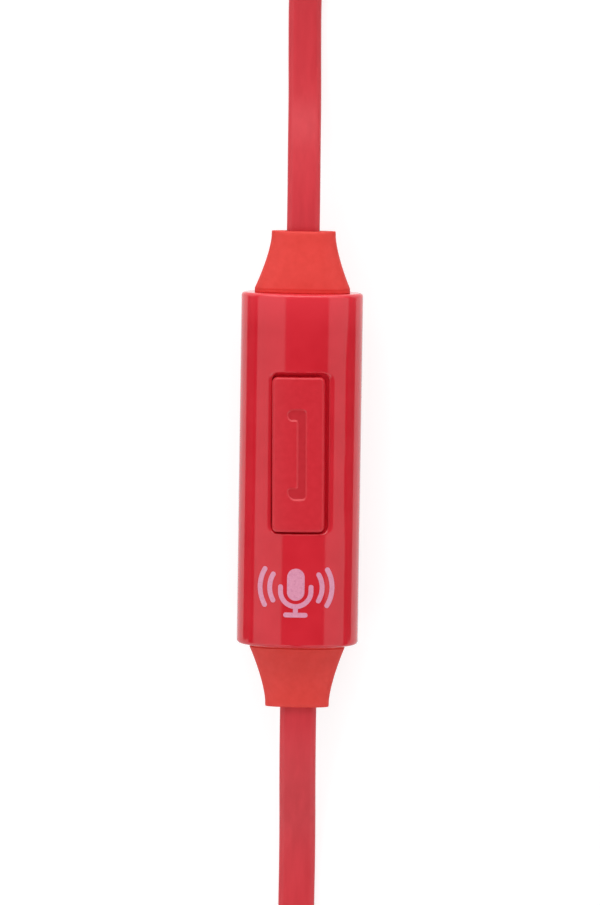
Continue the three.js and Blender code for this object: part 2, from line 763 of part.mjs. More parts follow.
function splitter() {
  const outer = roundedRect(splitterThick, splitterHeight, splitterRound, 0, splitterAxisZ);
  const wall = 2 * splitterWall;
  const insideWidth = splitterThick - wall;
  const insideHeight = splitterHeight - wall;
  const round = splitterRound - splitterWall;
  const inside = roundedRect(insideWidth, insideHeight, round, 0, splitterAxisZ);
  const core = roundedRect(insideWidth - 2 * fit, insideHeight - 2 * fit, round, 0, splitterAxisZ);
  const lip = 2 * portWall;
  const mouth = (width, thick, z, room) => (
    roundedRect(thick + lip + room, width + lip + room, 0.4 + room / 2, 0, z)
  );
  const middle = splitterLength / 2;
  const strandZ = [-1, 1].map((side) => splitterAxisZ + side * strandSpread / 2);
  const mouths = (room, reach) => [
    alongY(mouth(upperWidth, leadThick, splitterAxisZ, room), -reach, middle, 0, 3),
    ...strandZ.map((z) => (
      alongY(mouth(strandWidth - portWall, strandThick, z, room), middle, splitterLength + reach, 0, 3)
    )),
  ];
  const hollow = alongY(inside, splitterWall, splitterLength - splitterWall, 0, 2);
  const body = toSolid(alongY(outer, 0, splitterLength, 0.4, 3));
  const shell = cut(body, hollow, ...mouths(2 * fit, 1));
  const half = (from, to) => toSolid(box(
    [from, -1, -1], [to, splitterLength + 1, splitterHeight + 1],
  ));
  const centre = alongY(core, splitterWall + fit, splitterLength - splitterWall - fit, 0, 2);
  const group = new THREE.Group();
  group.add(
    piece('splitter_front_shell', toGeometry(shell.intersect(half(fit / 2, splitterThick))), glossRed),
    piece('splitter_back_shell', toGeometry(shell.intersect(half(-splitterThick, -fit / 2))), glossRed),
    piece('splitter_core', toGeometry(join(toSolid(centre), ...mouths(0, 0))), rubberRed),
  );
  group.position.set(...splitterAt, 0);
  group.rotation.z = -Math.PI / 2;
  return group;
}

// ---- Plug, along +Y from the cord to its tip -----------------------------------------------

function ringOutline(inner, outer, from, to) {
  return [[inner, from], [outer, from], [outer, to], [inner, to]];
}

function plug() {
  const bodyStart = plugReliefLength + fit;
  const shoulder = bodyStart + plugBodyLength;
  const neckEnd = bodyStart + plugNeckLength;
  const rodStart = shoulder - pinRoot;
  const pinEnd = shoulder + pinLength;
  const bore = rodRadius + fit;
  const tipStart = pinEnd - tipLength;
  const relief = turned([
    [0, 0], [plugReliefEnd, 0], [plugReliefEnd + 0.05, plugReliefLength * 0.3],
    [plugReliefRoot, plugReliefLength], [plugNeckRadius, plugReliefLength],
    [plugNeckRadius, neckEnd], [0, neckEnd],
  ], endSides);
  const seat = plugNeckRadius + fit;
  const hole = pinRadius + fit;
  const edge = plugBodyEdge;
  const body = turned([
    [seat, bodyStart], [plugBodyRadius - edge, bodyStart], [plugBodyRadius, bodyStart + edge],
    [plugBodyRadius, shoulder - edge], [plugBodyRadius - edge, shoulder], [hole, shoulder],
    [hole, rodStart - fit], [0, rodStart - fit], [0, neckEnd + fit], [seat, neckEnd + fit],
  ], outerSides);
  const waist = pinRadius * 0.7;
  const tip = turned([
    [0, rodStart], [rodRadius, rodStart], [rodRadius, tipStart], [pinRadius, tipStart],
    [pinRadius, tipStart + 0.16 * tipLength], [waist, tipStart + 0.42 * tipLength],
    [pinRadius * 0.95, tipStart + 0.62 * tipLength], [waist, tipStart + 0.87 * tipLength],
    [0, pinEnd],
  ], endSides);
  const group = new THREE.Group();
  group.add(
    piece('plug_strain_relief', relief, rubberRed),
    piece('plug_cover', body, glossRed),
    piece('plug_tip', tip, gold),
  );
  let front = tipStart;
  for (const [number, place] of ['tip', 'middle', 'rear'].entries()) {
    const back = front - insulatorWidth;
    const insulator = turned(ringOutline(bore, pinRadius, back, front), innerSides);
    group.add(piece(`plug_${place}_insulator`, insulator, blackPlastic));
    const last = number === 2;
    front = last ? rodStart : back - ringWidth;
    const contact = turned(ringOutline(bore, pinRadius, front, back), innerSides);
    group.add(piece(last ? 'plug_sleeve' : `plug_ring_${number + 1}`, contact, gold));
  }
  group.position.set(...plugAt, plugBodyRadius);
  return group;
}

// ---- Earbuds, along +Y from the ear tip to the cord ----------------------------------------

function earTip() {
  const bore = nozzleRadius + fit;
  return turned([
    [tipOpening, 0], [tipOpening + tipRim, 0.25],
    [budRadius * 0.85, tipShoulder], [budRadius, tipWidest],
    [budRadius - 0.05, tipSkirtEnd], [budRadius - tipSkirtThick, tipSkirtEnd],
    [budRadius - tipSkirtThick - 0.15, tipWidest + 0.2],
    [budRadius * 0.74, 3.3], [tipTube, 2.5], [tipTube, nozzleEnd - fit], [bore, nozzleEnd - fit],
    [bore, nozzleStart - 0.3], [tipOpening, nozzleStart - 0.3],
  ], outerSides);
}

function frontHousing() {
  const inside = budRadius - budWall;
  return turned([
    [nozzleBore, nozzleStart], [nozzleRadius, nozzleStart], [nozzleRadius, nozzleEnd],
    [budRadius * 0.72, nozzleEnd + 0.8], [budRadius * 0.94, nozzleEnd + 0.6 * frontFlare],
    [budRadius, nozzleEnd + frontFlare], [budRadius, frontEnd], [inside, frontEnd],
    [inside, driverStart - 0.1], [budRadius * 0.74, driverStart - 0.9],
    [nozzleBore, nozzleEnd + 1.2],
  ], outerSides);
}

function rearHousing() {
  const inside = budRadius - budWall;
  const hole = capRadius + fit;
  return turned([
    [inside, frontEnd + fit], [budRadius, frontEnd + fit], [budRadius, rearEnd - rearRound],
    [budRadius * 0.93, rearEnd - 0.56 * rearRound], [budRadius * 0.76, rearEnd - 0.2 * rearRound],
    [capFlange, rearEnd], [hole, rearEnd], [hole, rearEnd - budWall - 0.4],
    [budRadius * 0.66, rearEnd - budWall - 0.9], [inside - 0.4, rearEnd - 0.8 * rearRound],
    [inside, rearEnd - rearRound - 0.2],
  ], outerSides);
}

function membrane() {
  const rim = driverRadius - 0.4 - fit;
  const from = driverStart + 0.05;
  const front = [
    [0, 0], [membraneDome, 0.12], [membraneCone, 0.27], [membraneRoll, 0], [rim, 0.25],
  ];
  const outline = front.map(([radius, y]) => [radius, from + y]);
  const back = [...outline].reverse().map(([radius, y]) => [radius, y + membraneThick]);
  return turned([...outline, ...back], innerSides);
}

function earbud(side, at) {
  const driverEnd = driverStart + driverDepth;
  const rim = driverRadius - 0.4;
  const cupHole = cupRadius + 2 * fit;
  const cupFront = driverStart + 0.8;
  const cupBack = driverEnd + 0.5;
  const capBack = rearEnd + fit + capThick;
  const neckHole = budNeckRadius + fit;
  const capFront = rearEnd + fit - capDepth;
  const reliefStart = capBack + fit;
  const driverFrame = turned([
    [cupHole, driverEnd - 0.4], [rim, driverEnd - 0.4], [rim, driverStart],
    [driverRadius, driverStart], [driverRadius, driverEnd], [cupHole, driverEnd],
  ], innerSides);
  const coilStart = driverStart + 0.5;
  const voiceCoil = ringOutline(
    coilRadius - coilThick / 2, coilRadius + coilThick / 2, coilStart, coilStart + 1,
  );
  const cup = turned([
    [cupRadius - cupWall, cupFront], [cupRadius, cupFront], [cupRadius, cupBack], [0, cupBack],
    [0, cupBack - cupWall], [cupRadius - cupWall, cupBack - cupWall],
  ], innerSides);
  const magnetBack = cupBack - cupWall;
  const magnet = turned([
    [0, magnetBack - magnetThick], [magnetRadius, magnetBack - magnetThick],
    [magnetRadius, magnetBack], [0, magnetBack],
  ], innerSides);
  const screen = turned([
    [0, nozzleStart + 0.3], [nozzleBore - fit, nozzleStart + 0.3],
    [nozzleBore - fit, nozzleStart + 0.3 + screenThick], [0, nozzleStart + 0.3 + screenThick],
  ], innerSides);
  const cap = turned([
    [neckHole, capFront], [capRadius, capFront], [capRadius, rearEnd + fit],
    [capFlange, rearEnd + fit], [capFlange - 0.2, capBack], [neckHole, capBack],
  ], outerSides);
  const collar = capFront - fit;
  const relief = turned([
    [0, collar - 0.55], [budNeckRadius + 0.6, collar - 0.55], [budNeckRadius + 0.6, collar],
    [budNeckRadius, collar], [budNeckRadius, reliefStart], [budReliefRoot, reliefStart],
    [budReliefEnd + 0.25, reliefStart + budReliefLength * 0.5],
    [budReliefEnd, reliefStart + budReliefLength], [0, reliefStart + budReliefLength],
  ], endSides);
  const group = new THREE.Group();
  group.add(
    piece(`${side}_ear_tip`, earTip(), silicone),
    piece(`${side}_nozzle_screen`, screen, steel),
    piece(`${side}_front_housing`, frontHousing(), glossRed),
    piece(`${side}_diaphragm`, membrane(), film),
    piece(`${side}_voice_coil`, turned(voiceCoil, innerSides), copper),
    piece(`${side}_driver_frame`, driverFrame, blackPlastic),
    piece(`${side}_magnet`, magnet, steel),
    piece(`${side}_magnet_cup`, cup, steel),
    piece(`${side}_rear_housing`, rearHousing(), glossRed),
    piece(`${side}_end_cap`, cap, rubberRed),
    piece(`${side}_strain_relief`, relief, rubberRed),
  );
  group.position.set(...at, budRadius);
  return group;
}

// ---- Assembly -----------------------------------------------------------------------------

const earphones = new THREE.Group();
earphones.add(
  remote(), cords(), ties(), splitter(), plug(),
  earbud('right', rightBudAt), earbud('left', leftBudAt),
);

export default earphones;
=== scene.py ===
# Wired earphones with an in-line remote: the finish of every visible piece, the cords at their
# real length, a studio and the photograph's camera. Sizes below are in millimetres; points are
# turned into metres as each mesh is made. +Y runs up the remote, +Z is out of its button.

import math

import bmesh
import bpy
from mathutils import Matrix, Vector


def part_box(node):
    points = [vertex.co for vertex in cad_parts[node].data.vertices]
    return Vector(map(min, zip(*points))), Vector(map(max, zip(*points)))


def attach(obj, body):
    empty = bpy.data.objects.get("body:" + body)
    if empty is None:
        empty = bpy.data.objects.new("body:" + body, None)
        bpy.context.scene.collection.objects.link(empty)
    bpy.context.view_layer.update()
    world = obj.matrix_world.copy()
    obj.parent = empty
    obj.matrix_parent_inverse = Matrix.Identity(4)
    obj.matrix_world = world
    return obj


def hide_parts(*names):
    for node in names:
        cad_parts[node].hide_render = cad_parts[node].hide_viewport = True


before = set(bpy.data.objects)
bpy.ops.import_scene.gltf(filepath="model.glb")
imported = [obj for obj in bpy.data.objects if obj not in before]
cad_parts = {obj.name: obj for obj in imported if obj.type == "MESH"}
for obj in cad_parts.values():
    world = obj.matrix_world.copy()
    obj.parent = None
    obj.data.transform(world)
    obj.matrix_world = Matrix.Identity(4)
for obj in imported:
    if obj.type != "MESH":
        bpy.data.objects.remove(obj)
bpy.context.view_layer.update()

MM = 0.001
BODY = "earphones"
BUTTON_BODY = "button"

# Remote, as in the model
REMOTE_HALF_WIDTH = 5.0
REMOTE_HALF_DEPTH = 3.8
REMOTE_HALF_LENGTH = 14.5
REMOTE_AXIS_Z = 3.6
REMOTE_WALL = 0.8
REMOTE_END_WALL = 1.0
SHELL_SEAM_DROP = 0.3
SHELL_SEAM_GAP = 0.05
NECK_HALF_WIDTH = 2.1
NECK_HALF_DEPTH = 1.0

# Photograph
PHOTO_WIDTH_PX = 600
PHOTO_HEIGHT_PX = 905
REMOTE_CENTRE_PX = (299.75, 468.05)
MM_PER_PX = 0.0823


# ---- Camera ----

CAMERA_DISTANCE = 500.0
CAMERA_TILT_UP = math.radians(5.0)
CAMERA_TILT_RIGHT = math.radians(2.0)
CAMERA_ROLL = math.radians(0.86)
SENSOR = 36.0


def make_camera():
    back = Vector((
        math.tan(CAMERA_TILT_RIGHT), math.tan(CAMERA_TILT_UP), 1.0,
    )).normalized()
    level_right = Vector((0, 1, 0)).cross(back).normalized()
    level_up = back.cross(level_right)
    up = level_up * math.cos(CAMERA_ROLL) - level_right * math.sin(CAMERA_ROLL)
    right = level_right * math.cos(CAMERA_ROLL) + level_up * math.sin(CAMERA_ROLL)
    off_right = (PHOTO_WIDTH_PX / 2 - REMOTE_CENTRE_PX[0]) * MM_PER_PX
    off_up = (REMOTE_CENTRE_PX[1] - PHOTO_HEIGHT_PX / 2) * MM_PER_PX
    target = Vector((0, 0, REMOTE_AXIS_Z)) + right * off_right + up * off_up
    place = (target + back * CAMERA_DISTANCE) * MM
    data = bpy.data.cameras.new("camera")
    data.sensor_width = SENSOR
    data.lens = SENSOR * CAMERA_DISTANCE / (PHOTO_HEIGHT_PX * MM_PER_PX)
    data.clip_start = 0.01
    data.clip_end = 10.0
    camera = bpy.data.objects.new("camera", data)
    turn = Matrix((right, up, back)).transposed().to_4x4()
    camera.matrix_world = Matrix.Translation(place) @ turn
    bpy.context.scene.collection.objects.link(camera)
    bpy.context.scene.camera = camera


# ---- Mesh helpers ----

WELD = 2e-7


def bare_mesh(name, points, faces):
    """A welded mesh, normals outwards, from points in millimetres."""
    mesh = bpy.data.meshes.new(name)
    mesh.from_pydata([tuple(c * MM for c in point) for point in points], [], faces)
    shape = bmesh.new()
    shape.from_mesh(mesh)
    bmesh.ops.remove_doubles(shape, verts=shape.verts, dist=WELD)
    bmesh.ops.recalc_face_normals(shape, faces=shape.faces)
    shape.to_mesh(mesh)
    shape.free()
    return mesh


def mesh_piece(name, parts, look, body=BODY, replaces=(), sharp=40, cutters=()):
    """A piece from (points, faces) parts less its cutters, smooth but for its sharp edges."""
    points, faces = [], []
    for part_points, part_faces in parts:
        faces += [tuple(i + len(points) for i in face) for face in part_faces]
        points += part_points
    piece = bpy.data.objects.new(name, bare_mesh(name, points, faces))
    bpy.context.scene.collection.objects.link(piece)
    if cutters:
        carve(piece, cutters)
    mesh = piece.data
    mesh.shade_smooth()
    mesh.set_sharp_from_angle(angle=math.radians(sharp))
    mesh.materials.append(look.material)
    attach(piece, body)
    if replaces:
        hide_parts(*replaces)
    return piece


def carve(piece, cutters):
    """Cuts solids, each (points, faces), out of a piece."""
    tools = []
    for points, faces in cutters:
        tool = bpy.data.objects.new("tool", bare_mesh("tool", points, faces))
        bpy.context.scene.collection.objects.link(tool)
        cut = piece.modifiers.new("cut", "BOOLEAN")
        cut.operation = "DIFFERENCE"
        cut.solver = "EXACT"
        cut.object = tool
        tools.append(tool)
    done = piece.evaluated_get(bpy.context.evaluated_depsgraph_get())
    mesh = bpy.data.meshes.new_from_object(done)
    piece.modifiers.clear()
    piece.data = mesh
    for tool in tools:
        bpy.data.meshes.remove(tool.data)


def grid_part(rows, close_rows=False, close_columns=False):
    """The skin of quads over rows of points."""
    count, columns = len(rows), len(rows[0])
    faces = []
    for row in range(count if close_rows else count - 1):
        above = (row + 1) % count
        for column in range(columns if close_columns else columns - 1):
            beside = (column + 1) % columns
            faces.append((
                row * columns + column, row * columns + beside,
                above * columns + beside, above * columns + column,
            ))
    return [point for row in rows for point in row], faces


def rings_part(rings, close=False):
    """The skin over rings of points, capped at both ends unless the run is closed."""
    points, faces = grid_part(rings, close_rows=close, close_columns=True)
    if not close:
        columns = len(rings[0])
        faces.append(tuple(reversed(range(columns))))
        faces.append(tuple(range(len(points) - columns, len(points))))
    return points, faces


def prism(outline, low, high, place):
    """A solid between two levels of an outline; place puts (u, v, level) into the frame."""
    return rings_part([[place(u, v, level) for u, v in outline] for level in (low, high)])


def between(first, last, share):
    return tuple(a + (b - a) * share for a, b in zip(first, last))


def straight(first, last, steps):
    """Points spaced evenly from first to last, both included."""
    return [between(first, last, step / steps) for step in range(steps + 1)]


def runs_along(points):
    """The unit direction of a line at each of its points."""
    last = len(points) - 1
    return [
        (points[min(i + 1, last)] - points[max(i - 1, 0)]).normalized() for i in range(last + 1)
    ]


def grown(sizes, by):
    return tuple(size + by for size in sizes)


def placed(points, x, y, turn=0.0):
    """Points about a centre, turned and moved to it."""
    cos, sin = math.cos(turn), math.sin(turn)
    return [(x + u * cos - v * sin, y + u * sin + v * cos) for u, v in points]


def quarter_turn(steps, first=0):
    """(1 - cos, 1 - sin) in steps over a quarter turn, as shares of a rounding's radius."""
    angles = [math.pi / 2 * step / steps for step in range(first, steps + 1)]
    return [(1 - math.cos(angle), 1 - math.sin(angle)) for angle in angles]


def arc(centre, reach, start, end, steps):
    """Points on an arc of an ellipse from one angle to another, in degrees, both included."""
    points = []
    for step in range(steps + 1):
        angle = math.radians(start + (end - start) * step / steps)
        points.append((
            centre[0] + reach[0] * math.cos(angle), centre[1] + reach[1] * math.sin(angle),
        ))
    return points


def rounded_rect(half_width, half_height, radius, steps=8, centre=(0.0, 0.0), radius_y=None):
    """An anticlockwise outline that starts at the right side's top."""
    reach = (radius, radius if radius_y is None else radius_y)
    x, y = half_width - reach[0], half_height - reach[1]
    outline = []
    for sign_x, sign_y, start in ((1, 1, 0), (-1, 1, 90), (-1, -1, 180), (1, -1, 270)):
        corner = (centre[0] + sign_x * x, centre[1] + sign_y * y)
        outline += arc(corner, reach, start, start + 90, steps)
    return outline


def with_sides(outline, counts):
    """A rounded rectangle's outline, its short and its long sides cut into counts of steps."""
    quarter = len(outline) // 4
    full = []
    for corner in range(4):
        full += outline[quarter * corner:quarter * (corner + 1)]
        after = outline[quarter * (corner + 1) % len(outline)]
        full += straight(full[-1], after, counts[corner % 2])[1:-1]
    return full


SOFT_SHARE = 0.45


def soften(outline, radius, steps=5, closed=False):
    """The outline with each corner rounded, over at most SOFT_SHARE of the sides beside it."""
    count = len(outline)
    smooth = []
    for index, corner in enumerate(outline):
        if not closed and index in (0, count - 1):
            smooth.append(corner)
            continue
        here = Vector(corner)
        before = Vector(outline[index - 1]) - here
        after = Vector(outline[(index + 1) % count]) - here
        reach = min(radius, before.length * SOFT_SHARE, after.length * SOFT_SHARE)
        first = here + before.normalized() * reach
        last = here + after.normalized() * reach
        for step in range(steps + 1):
            share = step / steps
            point = first * (1 - share) ** 2 + here * (2 * share * (1 - share)) + last * share ** 2
            smooth.append(tuple(point))
    return smooth


def offset(outline, distance):
    """A closed anticlockwise outline moved outwards."""
    moved = []
    for index, point in enumerate(outline):
        here = Vector(point)
        before = (here - Vector(outline[index - 1])).normalized()
        after = (Vector(outline[(index + 1) % len(outline)]) - here).normalized()
        mean = before + after
        normal = Vector((mean.y, -mean.x)).normalized()
        moved.append(tuple(here + normal * distance))
    return moved


TURNED_SIDES = 96


def turned_piece(
    name, node, at, outline, look, rounding, closed=True, steps=5, sharp=40, cutters=(),
):
    """A piece turned about a line along Y; its outline is (radius, y) from the point at."""
    rings = []
    for radius, along in soften(outline, rounding, steps, closed):
        ring = []
        for side in range(TURNED_SIDES):
            angle = 2 * math.pi * side / TURNED_SIDES
            ring.append((
                at[0] + radius * math.sin(angle), at[1] + along, at[2] + radius * math.cos(angle),
            ))
        rings.append(ring)
    skin = grid_part(rings, close_rows=closed, close_columns=True)
    mesh_piece(name, [skin], look, replaces=[node], sharp=sharp, cutters=cutters)


# ---- Materials ----

def add_node(tree, kind, inputs=(), **settings):
    """A shader node; an input is linked where its value is a node's output, or else set."""
    node = tree.nodes.new(f"ShaderNode{kind}")
    for key, value in settings.items():
        setattr(node, key, value)
    for key, value in dict(inputs).items():
        if isinstance(value, bpy.types.NodeSocket):
            tree.links.new(value, node.inputs[key])
        else:
            node.inputs[key].default_value = value
    return node


def add_maths(tree, operation, *values):
    return add_node(tree, "Math", enumerate(values), operation=operation).outputs[0]


class Look:
    """A material with a Principled shader, the record's slot for it, and helpers for nodes."""

    def __init__(self, name, slot=None, **values):
        self.slot = slot
        self.material = bpy.data.materials.new(name)
        self.material.use_nodes = True
        self.tree = self.material.node_tree
        self.inputs = self.tree.nodes["Principled BSDF"].inputs
        for key, value in values.items():
            self.inputs[key.replace("_", " ")].default_value = value
        self.place = self.node("TexCoord").outputs["Object"]

    def node(self, kind, inputs=(), **settings):
        return add_node(self.tree, kind, inputs, **settings)

    def feed(self, key, value):
        self.tree.links.new(value, self.inputs[key])

    def noise(self, size_mm, detail, stretch=(1, 1, 1)):
        """Noise whose features are about size_mm across, stretched along the axes."""
        scale = [1 / (MM * size_mm * s) for s in stretch]
        mapping = self.node("Mapping", {"Vector": self.place, "Scale": scale})
        inputs = {"Vector": mapping.outputs["Vector"], "Scale": 1.0, "Detail": detail}
        return self.node("TexNoise", inputs).outputs["Fac"]

    def weave(self, pitch_mm, warp, weft):
        """Threads that cross, from 0 to 1; warp and weft are the two directions they follow."""
        waves = []
        for way in (warp, weft):
            scale = [2 * math.pi * w / (pitch_mm * MM) for w in way]
            along = self.node("VectorMath", {0: self.place, 1: scale}, operation="DOT_PRODUCT")
            waves.append(add_maths(self.tree, "SINE", along.outputs["Value"]))
        return self.remap(add_maths(self.tree, "MULTIPLY", *waves), 0, 1, -1, 1)

    def remap(self, value, low, high, from_low=0.3, from_high=0.7):
        return self.node("MapRange", {
            "Value": value, "From Min": from_low, "From Max": from_high, "To Min": low,
            "To Max": high,
        }).outputs["Result"]

    def blend(self, share, first, second):
        """The base colour runs from first to second with a share."""
        inputs = {"Factor": share, "A": first, "B": second}
        self.feed("Base Color", self.node("Mix", inputs, data_type="RGBA").outputs["Result"])

    def tint(self, value, first, second, from_low=0.3, from_high=0.7):
        self.blend(self.remap(value, 0, 1, from_low, from_high), (*first, 1), (*second, 1))

    def roughen(self, value, low, high):
        self.feed("Roughness", self.remap(value, low, high))

    def bump(self, value, height_mm):
        node = self.node("Bump", {"Height": value, "Strength": 1.0, "Distance": height_mm * MM})
        self.feed("Normal", node.outputs["Normal"])


def finish(name, tint, rough, bump=None, slot=None, stretch=(1, 1, 1), **values):
    """A look that varies finely with noise of a size, in millimetres, and a detail: tint is
    (size, detail, two colours), rough (size, detail, low, high), bump (size, detail, height)."""
    look = Look(name, slot, **values)
    look.tint(look.noise(*tint[:2], stretch), *tint[2:])
    look.roughen(look.noise(*rough[:2]), *rough[2:])
    if bump:
        look.bump(look.noise(*bump[:2]), bump[2])
    return look


def gloss_red(name="gloss_red"):
    return finish(
        name, (2.5, 2, (0.635, 0.014, 0.027), (0.68, 0.019, 0.034)), (0.8, 4, 0.07, 0.12),
        (1.6, 2, 0.0012), slot="gloss_red_shell", IOR=1.5,
    )


# Painted light: the shell's colour runs to this lighter red between these two places along Y, at
# its upper end
PAINTED_END_LIGHT = (0.80, 0.034, 0.052)
PAINTED_END_LIGHT_Y = (11.4, 14.6)


def remote_red_painted_light():
    """The same gloss with painted light: its colour is a little lighter towards the remote's upper
    end, where light enters it.
    """
    look = gloss_red("remote_red_painted_light")
    along = look.node("SeparateXYZ", {0: look.place}).outputs["Y"]
    share = look.remap(along, 0, 1, PAINTED_END_LIGHT_Y[0] * MM, PAINTED_END_LIGHT_Y[1] * MM)
    look.blend(share, look.inputs["Base Color"].links[0].from_socket, (*PAINTED_END_LIGHT, 1))
    return look


# The button's cap, the floor of its sunk mark, and its skirt deep in the gap beside it, whose
# darker, less glossy red is painted shade
satin_red = finish(
    "satin_red", (0.5, 4, (0.62, 0.014, 0.026), (0.66, 0.019, 0.033)), (0.3, 3, 0.34, 0.42),
    (0.07, 3, 0.002), slot="satin_red_button", IOR=1.48,
)

mark_red = finish(
    "mark_red", (0.4, 4, (0.53, 0.014, 0.024), (0.57, 0.018, 0.030)), (0.2, 3, 0.48, 0.58),
    (0.06, 3, 0.003), IOR=1.46, Specular_IOR_Level=0.3,
)

# Painted shade: a darker, less glossy copy of the button's red, for the skirt deep in the gap
painted_shade_red = finish(
    "painted_shade_red", (0.4, 4, (0.60, 0.011, 0.024), (0.64, 0.014, 0.029)), (0.2, 3, 0.6, 0.7),
    (0.06, 3, 0.002), IOR=1.46, Specular_IOR_Level=0.1,
)

rubber_red = finish(
    "rubber_red", (0.7, 4, (0.74, 0.042, 0.032), (0.79, 0.051, 0.041)),
    (0.3, 3, 0.55, 0.68), (0.09, 4, 0.004), slot="rubber_red", IOR=1.45,
)

cord_red = finish(
    "cord_red", (0.6, 3, (0.61, 0.028, 0.041), (0.67, 0.036, 0.050)), (0.35, 3, 0.40, 0.50),
    (0.08, 3, 0.003), slot="cord_red", stretch=(1, 6, 1), IOR=1.48,
)

print_pink = finish(
    "print_pink", (0.12, 3, (0.70, 0.27, 0.40), (0.78, 0.33, 0.47)), (0.3, 2, 0.25, 0.32),
    (0.06, 2, 0.001), IOR=1.5,
)

dark_silicone = finish(
    "dark_silicone", (0.8, 3, (0.022, 0.021, 0.023), (0.034, 0.032, 0.034)),
    (0.25, 3, 0.45, 0.58), (0.09, 3, 0.003), slot="dark_silicone", IOR=1.41,
)

black_plastic = finish(
    "black_plastic", (0.5, 3, (0.018, 0.018, 0.019), (0.030, 0.030, 0.031)),
    (0.25, 3, 0.35, 0.5), (0.06, 3, 0.002), slot="black_plastic", IOR=1.46,
)


def metal(name, dark, light, rough_low, rough_high, slot=None):
    return finish(
        name, (0.4, 3, dark, light), (0.2, 3, rough_low, rough_high), (0.05, 2, 0.0008),
        slot=slot, Metallic=1.0,
    )


gold = metal("gold", (0.80, 0.52, 0.18), (0.84, 0.56, 0.205), 0.14, 0.22, "gold_contact")
steel = metal("steel", (0.52, 0.52, 0.51), (0.62, 0.62, 0.61), 0.24, 0.34)
copper = metal("copper", (0.62, 0.26, 0.12), (0.72, 0.34, 0.17), 0.25, 0.35)

circuit_green = finish(
    "circuit_green", (0.9, 3, (0.016, 0.075, 0.032), (0.026, 0.11, 0.045)),
    (0.3, 3, 0.3, 0.4), IOR=1.5,
)

film_white = finish(
    "film_white", (0.6, 3, (0.60, 0.60, 0.56), (0.70, 0.70, 0.66)), (0.3, 3, 0.3, 0.4),
    IOR=1.5,
)


def strap_cloth():
    look = Look("strap_cloth", "strap", IOR=1.45, Sheen_Weight=0.4, Sheen_Roughness=0.5)
    threads = look.weave(0.42, (1, 1, 1), (1, -1, 2))
    look.tint(threads, (0.016, 0.016, 0.018), (0.062, 0.062, 0.068), 0.1, 0.9)
    look.roughen(look.noise(0.3, 2), 0.8, 0.92)
    look.bump(threads, 0.05)
    return look


def woven_steel():
    """The fine metal gauze over an earbud's nozzle, which faces along Y."""
    look = Look("woven_steel", "steel", Metallic=1.0)
    threads = look.weave(0.24, (1, 0, 1), (1, 0, -1))
    # The woven pattern is the gauze's own; the near-black between its threads is painted shade,
    # for the dark inside seen through its openings
    look.tint(threads, (0.03, 0.03, 0.03), (0.66, 0.66, 0.65), 0.35, 0.6)
    look.roughen(look.noise(0.2, 3), 0.28, 0.38)
    look.bump(threads, 0.03)
    return look


# ---- Cords ----

UPPER_WIDTH = 2.7
LOWER_WIDTH = 3.0
LEAD_THICK = 1.2
STRAND_WIDTH = 2.0
STRAND_THICK = 1.0
COIL_LIFT = 0.8
CLIMB_DIP = 0.55
CORD_ROUND = 0.42
MOUTH_ROOM = 0.08
MOUTH_ROUND = 0.84

# Routes, [x, y, z, roll], from the remote outwards: at roll 0 the cord's width
# is level, and at roll 90 the cord stands on edge
UPPER_LEAD_ROUTE = [
    (0, 18.5, 3.6, 0), (0, 22, 3.58, 0), (-0.05, 26, 2.75, 0), (-0.12, 30.5, 1.2, 0),
    (-0.2, 34.5, 0.68, 0), (-0.22, 38.5, 0.68, 0), (-0.1, 41, 1.05, 25), (0.7, 44, 1.5, 65),
    (2.6, 47, 1.4, 90), (5.6, 49.2, 1.35, 90), (9.5, 50, 1.5, 90), (14.5, 50, 2.5, 90),
    (19.5, 50, 3.6, 90), (24, 50, 4, 90), (27.8, 50, 4, 90),
]
LOWER_LEAD_X = 0.165
LOWER_LEAD_ROUTE = [
    (LOWER_LEAD_X, -18.5, 3.6, 0), (LOWER_LEAD_X, -22, 3.58, 0), (LOWER_LEAD_X, -26, 2.75, 0),
    (LOWER_LEAD_X, -30, 1.2, 0), (LOWER_LEAD_X, -33.5, 0.68, 0), (LOWER_LEAD_X, -37.5, 0.68, 0),
    (0.32, -40.3, 1.15, 25), (1.25, -43.4, 1.65, 65), (3.4, -46.2, 1.6, 90),
    (6.8, -47.9, 1.52, 90), (11, -48.5, 1.5, 90), (20, -48.5, 1.5, 90),
    (30, -48.5, 1.7, 90), (38, -48.45, 2.3, 90), (42.7, -48.44, 2.3, 90),
]
LOWER_LEAD_END_ROUTE = [
    (64.45, -26.7, 5.75, 90), (64.5, -24, 5.6, 90), (64.45, -20, 4.2, 90),
    (64.4, -16, 3.1, 90), (64.4, -12.2, 3, 90),
]
RIGHT_STRAND_ROUTE = [
    (38.2, 50, 2.6, 90), (41.5, 49.8, 2.5, 90), (44.6, 48.1, 2.0, 90), (47.7, 47.15, 1.8, 90),
]
LEFT_STRAND_ROUTE = [
    (38.2, 50, 5.4, 90), (41.5, 49.8, 5.6, 90), (44.6, 48.1, 6.4, 90), (47.7, 47.15, 6.7, 90),
]
RIGHT_STRAND_END_ROUTE = [
    (47.7, 21.86, 4.25, 90), (44.5, 21.7, 4.35, 90), (40.2, 20.8, 4.8, 90),
    (37.2, 18.6, 5.6, 90), (36.1, 16.6, 6, 90), (36, 13.9, 6, 90),
]
LEFT_STRAND_END_ROUTE = [
    (62.64, 32.2, 9.15, 90), (62.5, 29.6, 9.1, 90), (61.5, 26.4, 8.6, 90), (58.6, 22.8, 7.4, 90),
    (54.6, 19.8, 6.3, 90), (51.7, 17.4, 6, 90), (51, 13.9, 6, 90),
]

